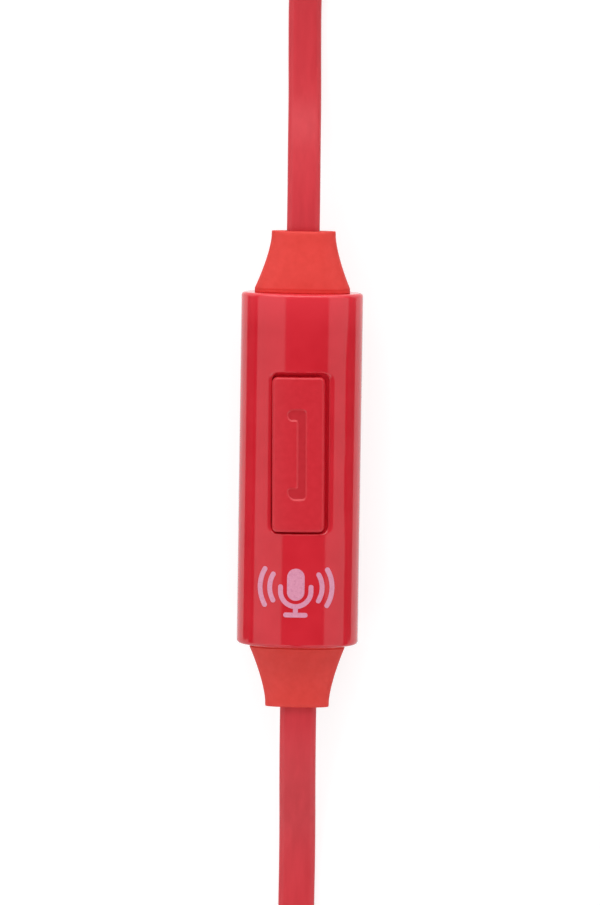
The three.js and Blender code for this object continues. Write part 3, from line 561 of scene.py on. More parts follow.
LEAD_COIL = {
    "at": (46, -30), "start": -math.pi / 2, "hand": 1, "turns": 6.25, "radius": 18.4,
    "step": 1.65, "low": COIL_LIFT + LOWER_WIDTH / 2, "rise": 3.45, "width": LOWER_WIDTH,
}
RIGHT_COIL = {
    "at": (50, 34.5), "start": math.pi / 2, "hand": -1, "turns": 4.5, "radius": 12.6,
    "step": 1.45, "low": COIL_LIFT + STRAND_WIDTH / 2, "rise": 2.45, "width": STRAND_WIDTH,
}
LEFT_COIL = {**RIGHT_COIL, "turns": 4.25, "low": RIGHT_COIL["low"] + 2 * RIGHT_COIL["rise"]}

# Real lengths of cord, in metres
UPPER_LEAD_LENGTH = 0.054
LOWER_LEAD_LENGTH = 0.718
RIGHT_STRAND_LENGTH = 0.336
LEFT_STRAND_LENGTH = 0.328


def route_line(route, per_span=10):
    """Points (x, y, z, roll) on the centripetal Catmull-Rom curve through a route."""
    points = [Vector(point[:3]) for point in route]
    points.insert(0, points[0] * 2 - points[1])
    points.append(points[-1] * 2 - points[-2])
    line = []
    for span in range(len(route) - 1):
        before, first, last, after = points[span:span + 4]
        gaps = [math.sqrt((b - a).length) for a, b in (
            (before, first), (first, last), (last, after))]
        leave = ((first - before) / gaps[0] - (last - before) / (gaps[0] + gaps[1])
                 + (last - first) / gaps[1]) * gaps[1]
        arrive = ((last - first) / gaps[1] - (after - first) / (gaps[1] + gaps[2])
                  + (after - last) / gaps[2]) * gaps[1]
        for step in range(per_span + (span == len(route) - 2)):
            share = step / per_span
            place = (first + leave * share
                     + (last * 3 - first * 3 - leave * 2 - arrive) * share ** 2
                     + (first * 2 - last * 2 + leave + arrive) * share ** 3)
            roll = route[span][3] + (route[span + 1][3] - route[span][3]) * share
            line.append((place, math.radians(roll)))
    return line


def coil_line(coil, per_turn=72):
    """The centre line of a coil in two layers, as the model winds it."""
    turns = coil["turns"]

    def place(turn):
        from_middle = turn - turns / 2
        away = abs(from_middle)
        eased = 2 * away * away + 0.125 if away < 0.25 else away
        dip = CLIMB_DIP * math.cos(math.pi * away) ** 2 if away < 0.5 else 0
        reach = coil["radius"] - coil["step"] * (turns / 2 - eased) - dip
        angle = coil["start"] + coil["hand"] * 2 * math.pi * turn
        share = min(1, max(0, (from_middle + 0.25) / 0.5))
        climb = share * share * (3 - 2 * share)
        return Vector((
            coil["at"][0] + reach * math.cos(angle), coil["at"][1] + reach * math.sin(angle),
            coil["low"] + coil["rise"] * climb,
        ))

    count = round(turns * per_turn)
    line = [place(turns * index / count) for index in range(count + 1)]
    small = 0.001
    line.insert(0, line[0] + (place(0) - place(small)).normalized() * coil["width"])
    line.append(line[-1] + (place(turns) - place(turns - small)).normalized() * coil["width"])
    return [(point, math.pi / 2) for point in line]


def cord_rings(places, width, thick):
    """Rings of a flat cord with rounded edges along (point, roll) places."""
    outline = rounded_rect(width / 2, thick / 2, thick * CORD_ROUND, steps=5)
    rings = []
    for (point, roll), run in zip(places, runs_along([point for point, _ in places])):
        side = run.cross(Vector((0, 0, 1))).normalized()
        rise = side.cross(run)
        across = side * math.cos(roll) + rise * math.sin(roll)
        through = run.cross(across)
        rings.append([tuple(point + across * x + through * y) for x, y in outline])
    return rings


def mouth_along_y(x, z, half_across, half_up, low, high):
    """A cutter for the mouth that a flat cord enters, with a little room round the cord."""
    half = grown((half_across, half_up), MOUTH_ROOM)
    outline = rounded_rect(*half, min(half) * MOUTH_ROUND, 6)
    return prism(outline, low, high, lambda u, v, level: (x + u, level, z + v))


def make_cord(name, places, width, thick, length, look, nodes, **facts):
    """A cord along a line, in place of its solids in the model."""
    tube = rings_part(cord_rings(places, width, thick))
    cord = mesh_piece(f"{name}_cord", [tube], look, replaces=nodes)
    path = [tuple(point * MM) for point, _ in places]
    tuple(path[0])


def make_cords(look):
    make_cord(
        "upper_lead", route_line(UPPER_LEAD_ROUTE), UPPER_WIDTH, LEAD_THICK, UPPER_LEAD_LENGTH,
        look, ["upper_lead"], far_end="object", lay="loose",
    )
    coiled = (
        ("lower_lead", LOWER_LEAD_ROUTE, LEAD_COIL, LOWER_LEAD_END_ROUTE, LEAD_THICK,
         LOWER_LEAD_LENGTH,
         {"far_end": "plug", "with_pieces": PLUG_PIECES + ["lead_coil_strap"]}),
        ("right_strand", RIGHT_STRAND_ROUTE, RIGHT_COIL, RIGHT_STRAND_END_ROUTE, STRAND_THICK,
         RIGHT_STRAND_LENGTH,
         {"far_end": "object", "with_pieces": SPLITTER_PIECES + ["strand_coil_strap"]}),
        ("left_strand", LEFT_STRAND_ROUTE, LEFT_COIL, LEFT_STRAND_END_ROUTE, STRAND_THICK,
         LEFT_STRAND_LENGTH, {"far_end": "object"}),
    )
    for name, route, coil, end_route, thick, length, facts in coiled:
        places = route_line(route)[:-1] + coil_line(coil) + route_line(end_route)
        nodes = [name, f"{name}_coil", f"{name}_end"]
        make_cord(name, places, coil["width"], thick, length, look, nodes, lay="coiled", **facts)


# ---- Remote ----

OUTER = (REMOTE_HALF_WIDTH, REMOTE_HALF_DEPTH)
INNER = grown(OUTER, -REMOTE_WALL)
PASSAGE = (NECK_HALF_WIDTH, NECK_HALF_DEPTH)
SEAM_Z = REMOTE_AXIS_Z - SHELL_SEAM_DROP
END_ROUND = 0.3
STRAIGHT = REMOTE_HALF_LENGTH - END_ROUND
INSIDE = REMOTE_HALF_LENGTH - REMOTE_END_WALL

# The slot and the button in it, as the photograph shows them, each very slightly turned
SLOT_HALF_WIDTH = 2.315
SLOT_HALF_LENGTH = 6.575
SLOT_CORNER = 0.65
SLOT_FILLET_WIDE = 0.7
SLOT_FILLET_DEEP = 0.25
SLOT_FILLET_END_SHARE = 0.2
SLOT_X = 0.115
SLOT_Y = 1.505
SLOT_TURN = math.radians(0.35)
BUTTON_X = -0.02
BUTTON_Y = 1.4

# Counts of quads round the slot: half a corner, then along the short and the long sides, and
# on the shell's edges opposite them
HALF_ARC = 4
ACROSS = 36
ALONG = 116
EDGE_ACROSS = ACROSS + 2 * HALF_ARC
EDGE_ALONG = ALONG + 2 * HALF_ARC

# Counts of steps over the roundings of the ends and the slot, from the slot to the shell's edges
# outside and inside, and along the back, down its sides and over its flat
ROUND_STEPS = 10
FILLET_STEPS = 12
OUTER_STEPS = 30
INNER_STEPS = 8
BACK_RUNS = 28
BACK_SIDE_STEPS = 24
BACK_FLAT_STEPS = 16

# Power over which the loops round the slot spread: over 1, they lie closer by the slot
SKIN_SPREAD = 1.15

# The microphone's port in the back: rings of (radius, level) of the hole and its bevelled rim
PORT_Y = -6.5
PORT_HOLE = ((0.4, -0.5), (0.4, 2.0))
PORT_RIM = ((0.65, -0.1), (0.38, 0.17))


def on_ellipse(half, angle, y):
    """The point at an angle from overhead on an ellipse round the remote's axis."""
    return half[0] * math.sin(angle), y, REMOTE_AXIS_Z + half[1] * math.cos(angle)


def seam_angle(half, side):
    """Where an ellipse meets the seam, on the front shell's side (1) or the back's (-1)."""
    return math.acos((SEAM_Z + side * SHELL_SEAM_GAP / 2 - REMOTE_AXIS_Z) / half[1])


def front_section(half, y):
    """Points from right to left over the crown of an ellipse, between the seam's two sides."""
    limit = seam_angle(half, 1)
    turns = [limit - 2 * limit * step / EDGE_ACROSS for step in range(EDGE_ACROSS + 1)]
    return [on_ellipse(half, turn, y) for turn in turns]


def back_section(half, y):
    """Points from right to left under an ellipse, cut flat where it would pass the table."""
    start = seam_angle(half, -1)
    flat = math.pi - math.acos(min(1.0, REMOTE_AXIS_Z / half[1]))
    right = []
    for step in range(BACK_SIDE_STEPS + 1):
        right.append(on_ellipse(half, start + (flat - start) * step / BACK_SIDE_STEPS, y))
    left = [(-x, y, z) for x, _, z in reversed(right)]
    return right + straight(right[-1], left[0], BACK_FLAT_STEPS)[1:-1] + left


def end_rows(section, side):
    """Rows over one end: the edge's rounding, the end wall, its passage and back inside."""
    rows = [
        section(grown(OUTER, -END_ROUND * inset), side * (REMOTE_HALF_LENGTH - END_ROUND * short))
        for inset, short in quarter_turn(ROUND_STEPS)
    ]
    for half in straight(grown(OUTER, -END_ROUND), PASSAGE, 3)[1:]:
        rows.append(section(half, side * REMOTE_HALF_LENGTH))
    return rows + [section(PASSAGE, side * INSIDE), section(INNER, side * INSIDE)]


def seam_faces(rows):
    """The flat faces on the seam, each over the same end of all rows."""
    outlines = [[row[end] for row in rows] for end in (0, -1)]
    return [(outline, [tuple(range(len(outline)))]) for outline in outlines]


def slot_loop(away):
    """The slot's outline in X and Y, moved outwards, from the middle of one corner."""
    away_y = away * SLOT_FILLET_END_SHARE
    outline = with_sides(rounded_rect(
        SLOT_HALF_WIDTH + away, SLOT_HALF_LENGTH + away_y, SLOT_CORNER + away, 2 * HALF_ARC,
        radius_y=SLOT_CORNER + away_y,
    ), (ACROSS, ALONG))
    return placed(outline[HALF_ARC:] + outline[:HALF_ARC], SLOT_X, SLOT_Y, SLOT_TURN)


def skin_loops(half, away, half_length, steps):
    """Loops on an ellipse, from round the slot out to the shell's edges."""
    limit = seam_angle(half, 1)
    inner = [(math.asin(x / half[0]), y) for x, y in slot_loop(away)]
    outer = with_sides([
        (limit, half_length), (-limit, half_length), (-limit, -half_length), (limit, -half_length),
    ], (EDGE_ACROSS, EDGE_ALONG))
    loops = []
    for step in range(steps + 1):
        share = (step / steps) ** SKIN_SPREAD
        places = [between(start, end, share) for start, end in zip(inner, outer)]
        loops.append([on_ellipse(half, angle, y) for angle, y in places])
    return loops


def crown_level(x):
    return REMOTE_AXIS_Z + OUTER[1] * math.sqrt(1 - (x / OUTER[0]) ** 2)


def make_front_cover(look):
    outer = skin_loops(OUTER, SLOT_FILLET_WIDE, STRAIGHT, OUTER_STEPS)
    fillet = []
    for down, away in quarter_turn(FILLET_STEPS, 1):
        loop = slot_loop(SLOT_FILLET_WIDE * away)
        fillet.append([(x, y, crown_level(x) - SLOT_FILLET_DEEP * down) for x, y in loop])
    inner = skin_loops(INNER, 0.0, INSIDE, INNER_STEPS)
    parts = [grid_part(outer[::-1] + fillet + inner, close_columns=True)]
    seam = []
    for side in (1, -1):
        rows = end_rows(front_section, side)
        parts.append(grid_part(rows))
        seam += seam_faces(rows)
    for start in (EDGE_ACROSS, 2 * EDGE_ACROSS + EDGE_ALONG):
        parts.append(grid_part([
            [loop[(start + step) % len(loop)] for step in range(EDGE_ALONG + 1)]
            for loop in (outer[-1], inner[-1])
        ]))
    mesh_piece(
        "remote_front_cover", parts + seam, look, replaces=["remote_front_shell"], sharp=50,
    )


def make_back_cover(look):
    shares = [1 - 2 * step / BACK_RUNS for step in range(1, BACK_RUNS)]
    rows = end_rows(back_section, -1)[::-1]
    rows += [back_section(OUTER, -STRAIGHT * share) for share in shares]
    rows += end_rows(back_section, 1)
    rows += [back_section(INNER, INSIDE * share) for share in shares]
    cutters = []
    for rings in (PORT_HOLE, PORT_RIM):
        cutters.append(rings_part([
            [(x, y, level) for x, y in rounded_rect(r, r, r, centre=(0, PORT_Y))]
            for r, level in rings
        ]))
    mesh_piece(
        "remote_back_cover", [grid_part(rows, close_rows=True)] + seam_faces(rows), look,
        replaces=["remote_back_shell"], sharp=40, cutters=cutters,
    )


# ---- Button ----

BUTTON_HALF_WIDTH = 2.14
BUTTON_HALF_LENGTH = 6.35
BUTTON_CORNER = 0.42
BUTTON_EDGE = 0.22
BUTTON_TURN = math.radians(0.65)
BUTTON_FACE_Z = 7.5
FLANGE_REACH = 0.2
FLANGE_Z = (5.3, 5.7)
FACE_CROWN = 0.2
SKIRT_GAP = 0.005
SKIRT_SINK = 0.2
SKIRT_FILLET = 0.06
PLUNGER_RADIUS = 0.8
PLUNGER_LOW_Z = 5.2
MARK_SINK = 0.11
MARK_SLOPE = 0.165
MARK_PAST = 1.05
EDGE_DROP = 0.01

# Counts of steps along the short and the long sides of its outlines
SIDE_STEPS = (20, 24)


def skirt_level(x):
    """Height of the skirt's top at the slot's wall, just below the slot's edge."""
    return crown_level(x) - SLOT_FILLET_DEEP - EDGE_DROP


def seated(points):
    """Points about the button's centre, as the button lies in its slot, very slightly turned."""
    return placed(points, BUTTON_X, BUTTON_Y, BUTTON_TURN)


def handset_outline():
    """A telephone handset seen from its side, anticlockwise, about the button's centre."""
    return soften([
        (0.61, -3.6), (0.61, 3.64), (-0.55, 3.64), (-0.82, 3.42), (-0.82, 3.1), (-0.6, 2.88),
        (0.03, 2.88), (0.03, -2.83), (-0.82, -2.83), (-0.74, -3.3), (-0.45, -3.6),
    ], 0.3, 6, closed=True)

def face_part(ring):
    """The skin over a ring made from with_sides, in strips along its long sides."""
    middle = len(ring) // 2
    along = SIDE_STEPS[1]
    upper = ring[:middle - along + 1]
    lower = ring[middle:len(ring) - along + 1]
    return grid_part([straight(a, b, along) for a, b in zip(upper, reversed(lower))])


def make_button_cap(look, mark_look, skirt_painted_shade_look):
    """The crowned cap with its sunk mark, its skirt in the slot, the flange and the plunger."""
    def outline(reach):
        return with_sides(rounded_rect(
            BUTTON_HALF_WIDTH + reach, BUTTON_HALF_LENGTH + reach, BUTTON_CORNER + reach,
        ), SIDE_STEPS)

    def face_ring(reach, drop):
        return [
            (x, y, BUTTON_FACE_Z - drop - FACE_CROWN * (u / BUTTON_HALF_WIDTH) ** 2)
            for (u, _), (x, y) in zip(outline(reach), seated(outline(reach)))
        ]

    def foot_ring(reach, rise):
        return [(x, y, skirt_level(x) - SKIRT_SINK + rise) for x, y in seated(outline(reach))]

    def slot_ring(reach, level=None):
        slot = with_sides(rounded_rect(
            SLOT_HALF_WIDTH + reach, SLOT_HALF_LENGTH + reach, SLOT_CORNER + min(reach, 0),
        ), SIDE_STEPS)
        return [
            (x, y, skirt_level(x) if level is None else level)
            for x, y in placed(slot, SLOT_X, SLOT_Y, SLOT_TURN)
        ]

    plunger = with_sides(rounded_rect(
        PLUNGER_RADIUS, PLUNGER_RADIUS, PLUNGER_RADIUS * 0.98, centre=(BUTTON_X, BUTTON_Y),
    ), SIDE_STEPS)
    rings = [[(x, y, level) for x, y in plunger] for level in (PLUNGER_LOW_Z, FLANGE_Z[0])]
    rings += [slot_ring(FLANGE_REACH, level) for level in FLANGE_Z]
    rings += [slot_ring(-SKIRT_GAP, FLANGE_Z[1]), slot_ring(-SKIRT_GAP)]
    rings += [foot_ring(SKIRT_FILLET * out, SKIRT_FILLET * up) for up, out in quarter_turn(4)]
    rings += [face_ring(-BUTTON_EDGE * away, BUTTON_EDGE * drop) for away, drop in quarter_turn(7)]
    body = grid_part(rings, close_columns=True)
    body[1].append(tuple(reversed(range(len(rings[0])))))
    mark = handset_outline()
    wider = offset(mark, MARK_SLOPE * MARK_PAST)
    low, high = BUTTON_FACE_Z - MARK_SINK, BUTTON_FACE_Z + MARK_SINK * (MARK_PAST - 1)
    cutter = rings_part([
        [(x, y, level) for x, y in seated(shape)] for shape, level in ((mark, low), (wider, high))
    ])
    cap = mesh_piece(
        "remote_button_cap", [body, face_part(rings[-1])], look, body=BUTTON_BODY,
        replaces=["remote_button"], sharp=22, cutters=[cutter],
    )
    cap.data.materials.append(mark_look.material)
    # The skirt's faces deep in the gap take the painted shade
    cap.data.materials.append(skirt_painted_shade_look.material)
    for face in cap.data.polygons:
        x, _, z = (c / MM for c in face.center)
        if face.normal.z > 0.99 and abs(z - low) < 0.005:
            face.material_index = 1
        elif FLANGE_Z[1] < z < skirt_level(x) + 2 * EDGE_DROP:
            face.material_index = 2


# ---- Strain reliefs ----

# Places along Y from the remote's centre, half sizes across it, and the narrow end's lean
RELIEF_LIP_Y = 14.505
UPPER_RELIEF = {
    "end_y": 19.53, "groove": 0.012, "lean": 0.04, "cord_x": 0.0, "cord_width": UPPER_WIDTH,
}
LOWER_RELIEF = {
    "end_y": 19.72, "groove": 0.05, "lean": 0.06, "cord_x": LOWER_LEAD_X,
    "cord_width": LOWER_WIDTH,
}
RELIEF_WIDE = (3.925, 1.9)
RELIEF_NARROW = (2.635, 1.15)
RELIEF_LIP = 0.3
RELIEF_MOUTH_Y = 18.45
RELIEF_FLARE = 1.45
RELIEF_SQUARE = 2.5
RELIEF_SIDES = 120
RELIEF_FLARE_STEPS = 44
RELIEF_END_ROUND = 0.4
LIP_TUCK = 0.03
LIP_DOME = 0.06
GROOVE_RUN = (-0.16, -0.1, -0.04)
END_TUCK = (0.03, 0.16)
COLLAR_Y = (RELIEF_LIP_Y - 1.9, RELIEF_LIP_Y - 1.1)
COLLAR = (2.5, 1.4)
NECK = (2.05, 0.95)


def relief_ring(y, half, power=RELIEF_SQUARE, middle=0.0):
    """A ring between an ellipse (power 2) and a rectangle, across the remote's axis."""
    ring = []
    for side in range(RELIEF_SIDES):
        angle = 2 * math.pi * side / RELIEF_SIDES
        across, up = (
            size * math.copysign(abs(way) ** (2 / power), way)
            for size, way in zip(half, (math.sin(angle), math.cos(angle)))
        )
        ring.append((middle + across, y, REMOTE_AXIS_Z + up))
    return ring


def make_relief_sleeve(place, side, look, end_y, groove, lean, cord_x, cord_width):
    """A strain relief: a rounded lip on the housing, a groove, a flare and a crowned end."""
    start = RELIEF_LIP_Y + RELIEF_LIP
    run = end_y - start - RELIEF_END_ROUND
    rings = [
        relief_ring(RELIEF_LIP_Y + LIP_DOME * along, grown(RELIEF_WIDE, -LIP_TUCK * tuck))
        for along, tuck in quarter_turn(6)
    ]
    for along, depth in zip(GROOVE_RUN, (0.0, groove, groove)):
        rings.append(relief_ring(start + along, grown(RELIEF_WIDE, -depth)))
    for step in range(RELIEF_FLARE_STEPS + 1):
        along = step / RELIEF_FLARE_STEPS
        flare = (1 - along) ** RELIEF_FLARE
        half = between(RELIEF_NARROW, RELIEF_WIDE, flare)
        rings.append(relief_ring(start + run * along, half, middle=side * lean * (1 - flare)))
    for tuck, short in quarter_turn(5, 1):
        half = tuple(size - most * tuck for size, most in zip(RELIEF_NARROW, END_TUCK))
        rings.append(relief_ring(end_y - RELIEF_END_ROUND * short, half, middle=side * lean))
    neck = [relief_ring(y, half, 2) for y, half in (
        (COLLAR_Y[0], COLLAR), (COLLAR_Y[1], COLLAR), (COLLAR_Y[1], NECK), (start, NECK),
    )]
    parts = [
        rings_part([[(side * x, side * y, z) for x, y, z in ring] for ring in skin])
        for skin in (rings, neck)
    ]
    ends = sorted((side * RELIEF_MOUTH_Y, side * (end_y + 1.0)))
    mouth = mouth_along_y(cord_x, REMOTE_AXIS_Z, cord_width / 2, LEAD_THICK / 2, *ends)
    mesh_piece(
        f"{place}_relief_sleeve", parts, look, replaces=[f"remote_{place}_strain_relief"],
        sharp=55, cutters=[mouth],
    )


# ---- Pad-printed microphone pictogram on the remote ----

PRINT_AT = (-0.05, -9.8)
PRINT_LIFT = 0.018
PRINT_LINE = 0.2
PRINT_END_STEPS = 8
CAPSULE_HALF_WIDTH = 0.72
CRADLE_RADIUS = 1.25
WAVE_RADII = (2.15, 2.95)
WAVE_SPREAD = 30


def print_ribbon(path, half_width=PRINT_LINE, columns=10):
    """A thin printed stroke with round ends along a path, laid on the housing's crown."""
    points = [Vector(point) for point in placed(path, *PRINT_AT)]
    runs = runs_along(points)

    def round_end(end, way):
        """Places past one end, with the share of the stroke's width that is left there."""
        places = []
        for step in range(1, PRINT_END_STEPS + 1):
            angle = math.pi / 2 * step / (PRINT_END_STEPS + 0.01)
            past = way * half_width * math.sin(angle)
            places.append((points[end] + runs[end] * past, runs[end], math.cos(angle)))
        return places

    middle = [(point, run, 1.0) for point, run in zip(points, runs)]
    rings = []
    for point, run, share in round_end(0, -1)[::-1] + middle + round_end(-1, 1):
        side = Vector((-run.y, run.x)) * half_width * share
        row = [point + side * (2 * c / columns - 1) for c in range(columns + 1)]
        top = [(p.x, p.y, crown_level(p.x) + PRINT_LIFT) for p in row]
        low = [(p.x, p.y, crown_level(p.x) - PRINT_LIFT) for p in reversed(row)]
        rings.append(top + low)
    return rings_part(rings)


def make_print(look):
    """A microphone in its cradle with two sound waves on each side."""
    bowl = arc((0, 0), (CRADLE_RADIUS, CRADLE_RADIUS), 180, 360, 24)
    cradle = [(-CRADLE_RADIUS, 0.35)] + bowl + [(CRADLE_RADIUS, 0.35)]
    stem = straight((0, -1.25), (0, -1.8), 4)
    foot = straight((-0.8, -1.95), (0.8, -1.95), 8)
    waves = [
        arc((0, 0.3), (radius, radius), middle - WAVE_SPREAD, middle + WAVE_SPREAD, 24)
        for middle in (0, 180) for radius in WAVE_RADII
    ]
    parts = [print_ribbon(straight((0, -0.05), (0, 1.15), 8), CAPSULE_HALF_WIDTH, 16)]
    parts += [print_ribbon(path) for path in [cradle, stem, foot] + waves]
    mesh_piece("remote_print", parts, look, sharp=60)


# ---- Splitter ----

SPLITTER_FROM = 27.0
SPLITTER_TO = 39.0
SPLITTER_Y = 50.0
SPLITTER_Z = 4.0
SPLITTER_HALF_THICK = 2.3
SPLITTER_HALF_TALL = 4.0
SPLITTER_ROUND = 1.1
SPLITTER_END_ROUND = 0.4
STRAND_RISES = (2.6, 5.4)

# Half sizes in Y and Z: the core, its bushes at both ends, and the cords' mouths in them
CORE = (1.4, 3.1)
LEAD_BUSH = (0.88, 1.61)
STRAND_BUSH = (0.78, 1.13)
LEAD_MOUTH = (0.66, 1.4)
STRAND_MOUTH = (0.56, 1.06)
CORE_ROOM = 0.1
BUSH_ROOM = 0.05


def splitter_half(side, inset):
    """Half of the splitter's outline, [y, z] about its axis, from its split face outwards."""
    y, z, r = SPLITTER_HALF_THICK - inset, SPLITTER_HALF_TALL - inset, SPLITTER_ROUND
    gap = SHELL_SEAM_GAP / 2
    rim = arc((y - r, z - r), (r, r), 90, 0, 8) + arc((y - r, r - z), (r, r), 0, -90, 8)
    return [(side * u, v) for u, v in [(gap, z), *rim, (gap, -z)]]


def block(half, z, start, end):
    """A block with rounded edges along the splitter, at a height z."""
    outline = rounded_rect(*half, min(half) * 0.75)
    return prism(outline, start, end, lambda u, v, level: (level, SPLITTER_Y + u, z + v))


def make_splitter(gloss, rubber):
    first, last = SPLITTER_FROM, SPLITTER_TO
    hollows = [
        block(grown(LEAD_BUSH, BUSH_ROOM), SPLITTER_Z, first - 1, first + 2),
        block(grown(CORE, CORE_ROOM), SPLITTER_Z, first + 0.8, last - 0.8),
    ] + [block(grown(STRAND_BUSH, BUSH_ROOM), z, last - 2, last + 1) for z in STRAND_RISES]
    for name, side in (("front", -1), ("back", 1)):
        rings = []
        for end, way in ((first, 1), (last, -1)):
            rows = []
            for short, inset in quarter_turn(6):
                half = splitter_half(side, SPLITTER_END_ROUND * inset)
                x = end + way * SPLITTER_END_ROUND * short
                rows.append([(x, SPLITTER_Y + u, SPLITTER_Z + v) for u, v in half])
            rings += rows[::way]
        mesh_piece(
            f"splitter_{name}_cover", [rings_part(rings)], gloss,
            replaces=[f"splitter_{name}_shell"], cutters=hollows,
        )
    bushes = [
        block(LEAD_BUSH, SPLITTER_Z, first, first + 1.2),
        block(CORE, SPLITTER_Z, first + 1.2, last - 1.2),
    ] + [block(STRAND_BUSH, z, last - 1.2, last) for z in STRAND_RISES]
    mouths = [block(LEAD_MOUTH, SPLITTER_Z, first - 1, first + 0.9)]
    mouths += [block(STRAND_MOUTH, z, last - 0.9, last + 1) for z in STRAND_RISES]
    mesh_piece("splitter_bushes", bushes, rubber, replaces=["splitter_core"], cutters=mouths)


# ---- Plug ----

PLUG_AT = (64.4, -13.0, 3.0)
PLUG_RIB = ((0, 0), (0.04, 0.75), (-0.22, 0.82), (-0.2, 1.18))


def make_plug(gloss, rubber, gold, black):
    """The plug's turned pieces, their outlines (radius, y) from the end where the cord enters."""
    def part(name, node, look, rounding, outline, **facts):
        turned_piece(f"plug_{name}", f"plug_{node}", PLUG_AT, outline, look, rounding, **facts)

    def barrel(radius, start, end):
        return [(0.55, start), (radius, start), (radius, end), (0.55, end)]

    x, y, z = PLUG_AT
    ribs = []
    for start in (0.35, 1.6, 2.85, 4.1):
        radius = 1.92 + 0.58 * (start / 6.0) ** 1.6
        ribs += [(radius + out, start + along) for out, along in PLUG_RIB]
    mouth = mouth_along_y(x, z, LEAD_THICK / 2, LOWER_WIDTH / 2, y - 1.0, y + 0.9)
    part("relief_sleeve", "strain_relief", rubber, 0.12, [
        (0, 0), (1.8, 0), *ribs, (2.5, 5.4), (2.5, 6.0), (1.7, 6.0), (1.7, 8.05), (0, 8.05),
    ], closed=False, cutters=[mouth])
    part("grip", "cover", gloss, 0.12, [
        (1.75, 6.05), (2.65, 6.05), (3.0, 6.4), (3.0, 14.6), (2.92, 14.75), (2.92, 15.0),
        (3.0, 15.15), (3.0, 17.65), (2.6, 18.05), (1.8, 18.05), (1.8, 15.0), (0, 15.0), (0, 8.1),
        (1.75, 8.1),
    ])
    part("point", "tip", gold, 0.3, [
        (0, 15.05), (0.5, 15.05), (0.5, 28.85), (1.75, 28.85), (1.75, 29.36), (1.225, 30.2),
        (1.66, 30.83), (1.6, 31.1), (1.225, 31.65), (0.75, 32.0), (0, 32.05),
    ], closed=False)
    part("contact_1", "ring_1", gold, 0.05, barrel(1.75, 26.05, 28.25))
    part("contact_2", "ring_2", gold, 0.05, barrel(1.75, 23.25, 25.45))
    part("contact_sleeve", "sleeve", gold, 0.05, barrel(1.75, 15.05, 22.65))
    for name, start in (("tip", 28.25), ("middle", 25.45), ("rear", 22.65)):
        ring = barrel(1.73, start, start + 0.6)
        part(f"spacer_{name}", f"{name}_insulator", black, 0.03, ring)


# ---- Earbuds ----

BUDS = {"right": (36.0, -9.0, 6.0), "left": (51.0, -9.0, 6.0)}
BUD_RIB = ((0, -0.35), (-0.04, 0.2), (-0.3, 0.28), (-0.3, 0.55))


def make_earbud(side, gloss, rubber, silicone, gauze):
    """One earbud's turned pieces, their outlines (radius, y) from the ear tip's end."""
    def part(name, node, look, rounding, outline, **facts):
        turned_piece(
            f"{side}_{name}", f"{side}_{node}", BUDS[side], outline, look, rounding, steps=6,
            sharp=45, **facts,
        )

    part("tip_dome", "ear_tip", silicone, 0.9, [
        (1.9, 0.05), (2.5, 0.0), (3.4, 0.35), (4.6, 1.6), (5.5, 3.3), (5.95, 5.2), (6.0, 6.6),
        (5.9, 7.4), (5.45, 7.4), (5.3, 5.4), (4.44, 3.3), (3.2, 2.5), (3.2, 7.15), (2.45, 7.15),
        (2.45, 1.0), (1.9, 1.0),
    ])
    part("nozzle_mesh", "nozzle_screen", gauze, 0.03, [
        (0, 1.6), (1.65, 1.6), (1.65, 1.9), (0, 1.9),
    ], closed=False)
    part("front_cup", "front_housing", gloss, 0.12, [
        (1.7, 1.3), (2.4, 1.3), (2.4, 7.2), *arc((2.9, 11.0), (3.1, -3.65), 80, 0, 16),
        (6.0, 12.6), (5.2, 12.6), (5.2, 10.8), (4.44, 10.0), (1.7, 8.4),
    ])
    part("rear_cup", "rear_housing", gloss, 0.12, [
        (5.2, 12.65), (6.0, 12.65), *arc((2.65, 15.0), (3.35, 3.6), 0, 78, 16), (2.65, 18.6),
        (2.65, 17.4), (3.96, 16.9), (4.8, 15.9), (5.2, 15.0),
    ])
    part("end_button", "end_cap", rubber, 0.12, [
        (1.65, 17.25), (2.6, 17.25), (2.6, 18.65), (3.3, 18.65), (3.2, 19.2), (1.65, 19.2),
    ])
    ribs = []
    for radius, start in ((2.1, 19.95), (1.9, 21.0), (1.7, 22.05)):
        ribs += [(radius + out, start + along) for out, along in BUD_RIB]
    x, y, z = BUDS[side]
    mouth = mouth_along_y(x, z, STRAND_THICK / 2, STRAND_WIDTH / 2, y + 22.8, y + 24.5)
    part("relief_sleeve", "strain_relief", rubber, 0.1, [
        (0, 16.65), (2.2, 16.65), (2.2, 17.2), (1.6, 17.2), (1.6, 19.25), (2.25, 19.25), *ribs,
        (1.5, 22.9), (1.45, 23.4), (1.3, 23.55), (0, 23.55),
    ], closed=False, cutters=[mouth])


# ---- Coil straps ----

STRAP_THICK = 0.5
STRAP_CORNER = 1.05
STRAP_EDGE = 0.2
STRAP_STEP = 0.5


def refine(outline, longest):
    """A closed outline with its long sides divided."""
    fine = []
    for index, point in enumerate(outline):
        after = outline[(index + 1) % len(outline)]
        count = max(1, math.ceil(math.dist(point, after) / longest))
        fine += straight(point, after, count)[:-1]
    return fine


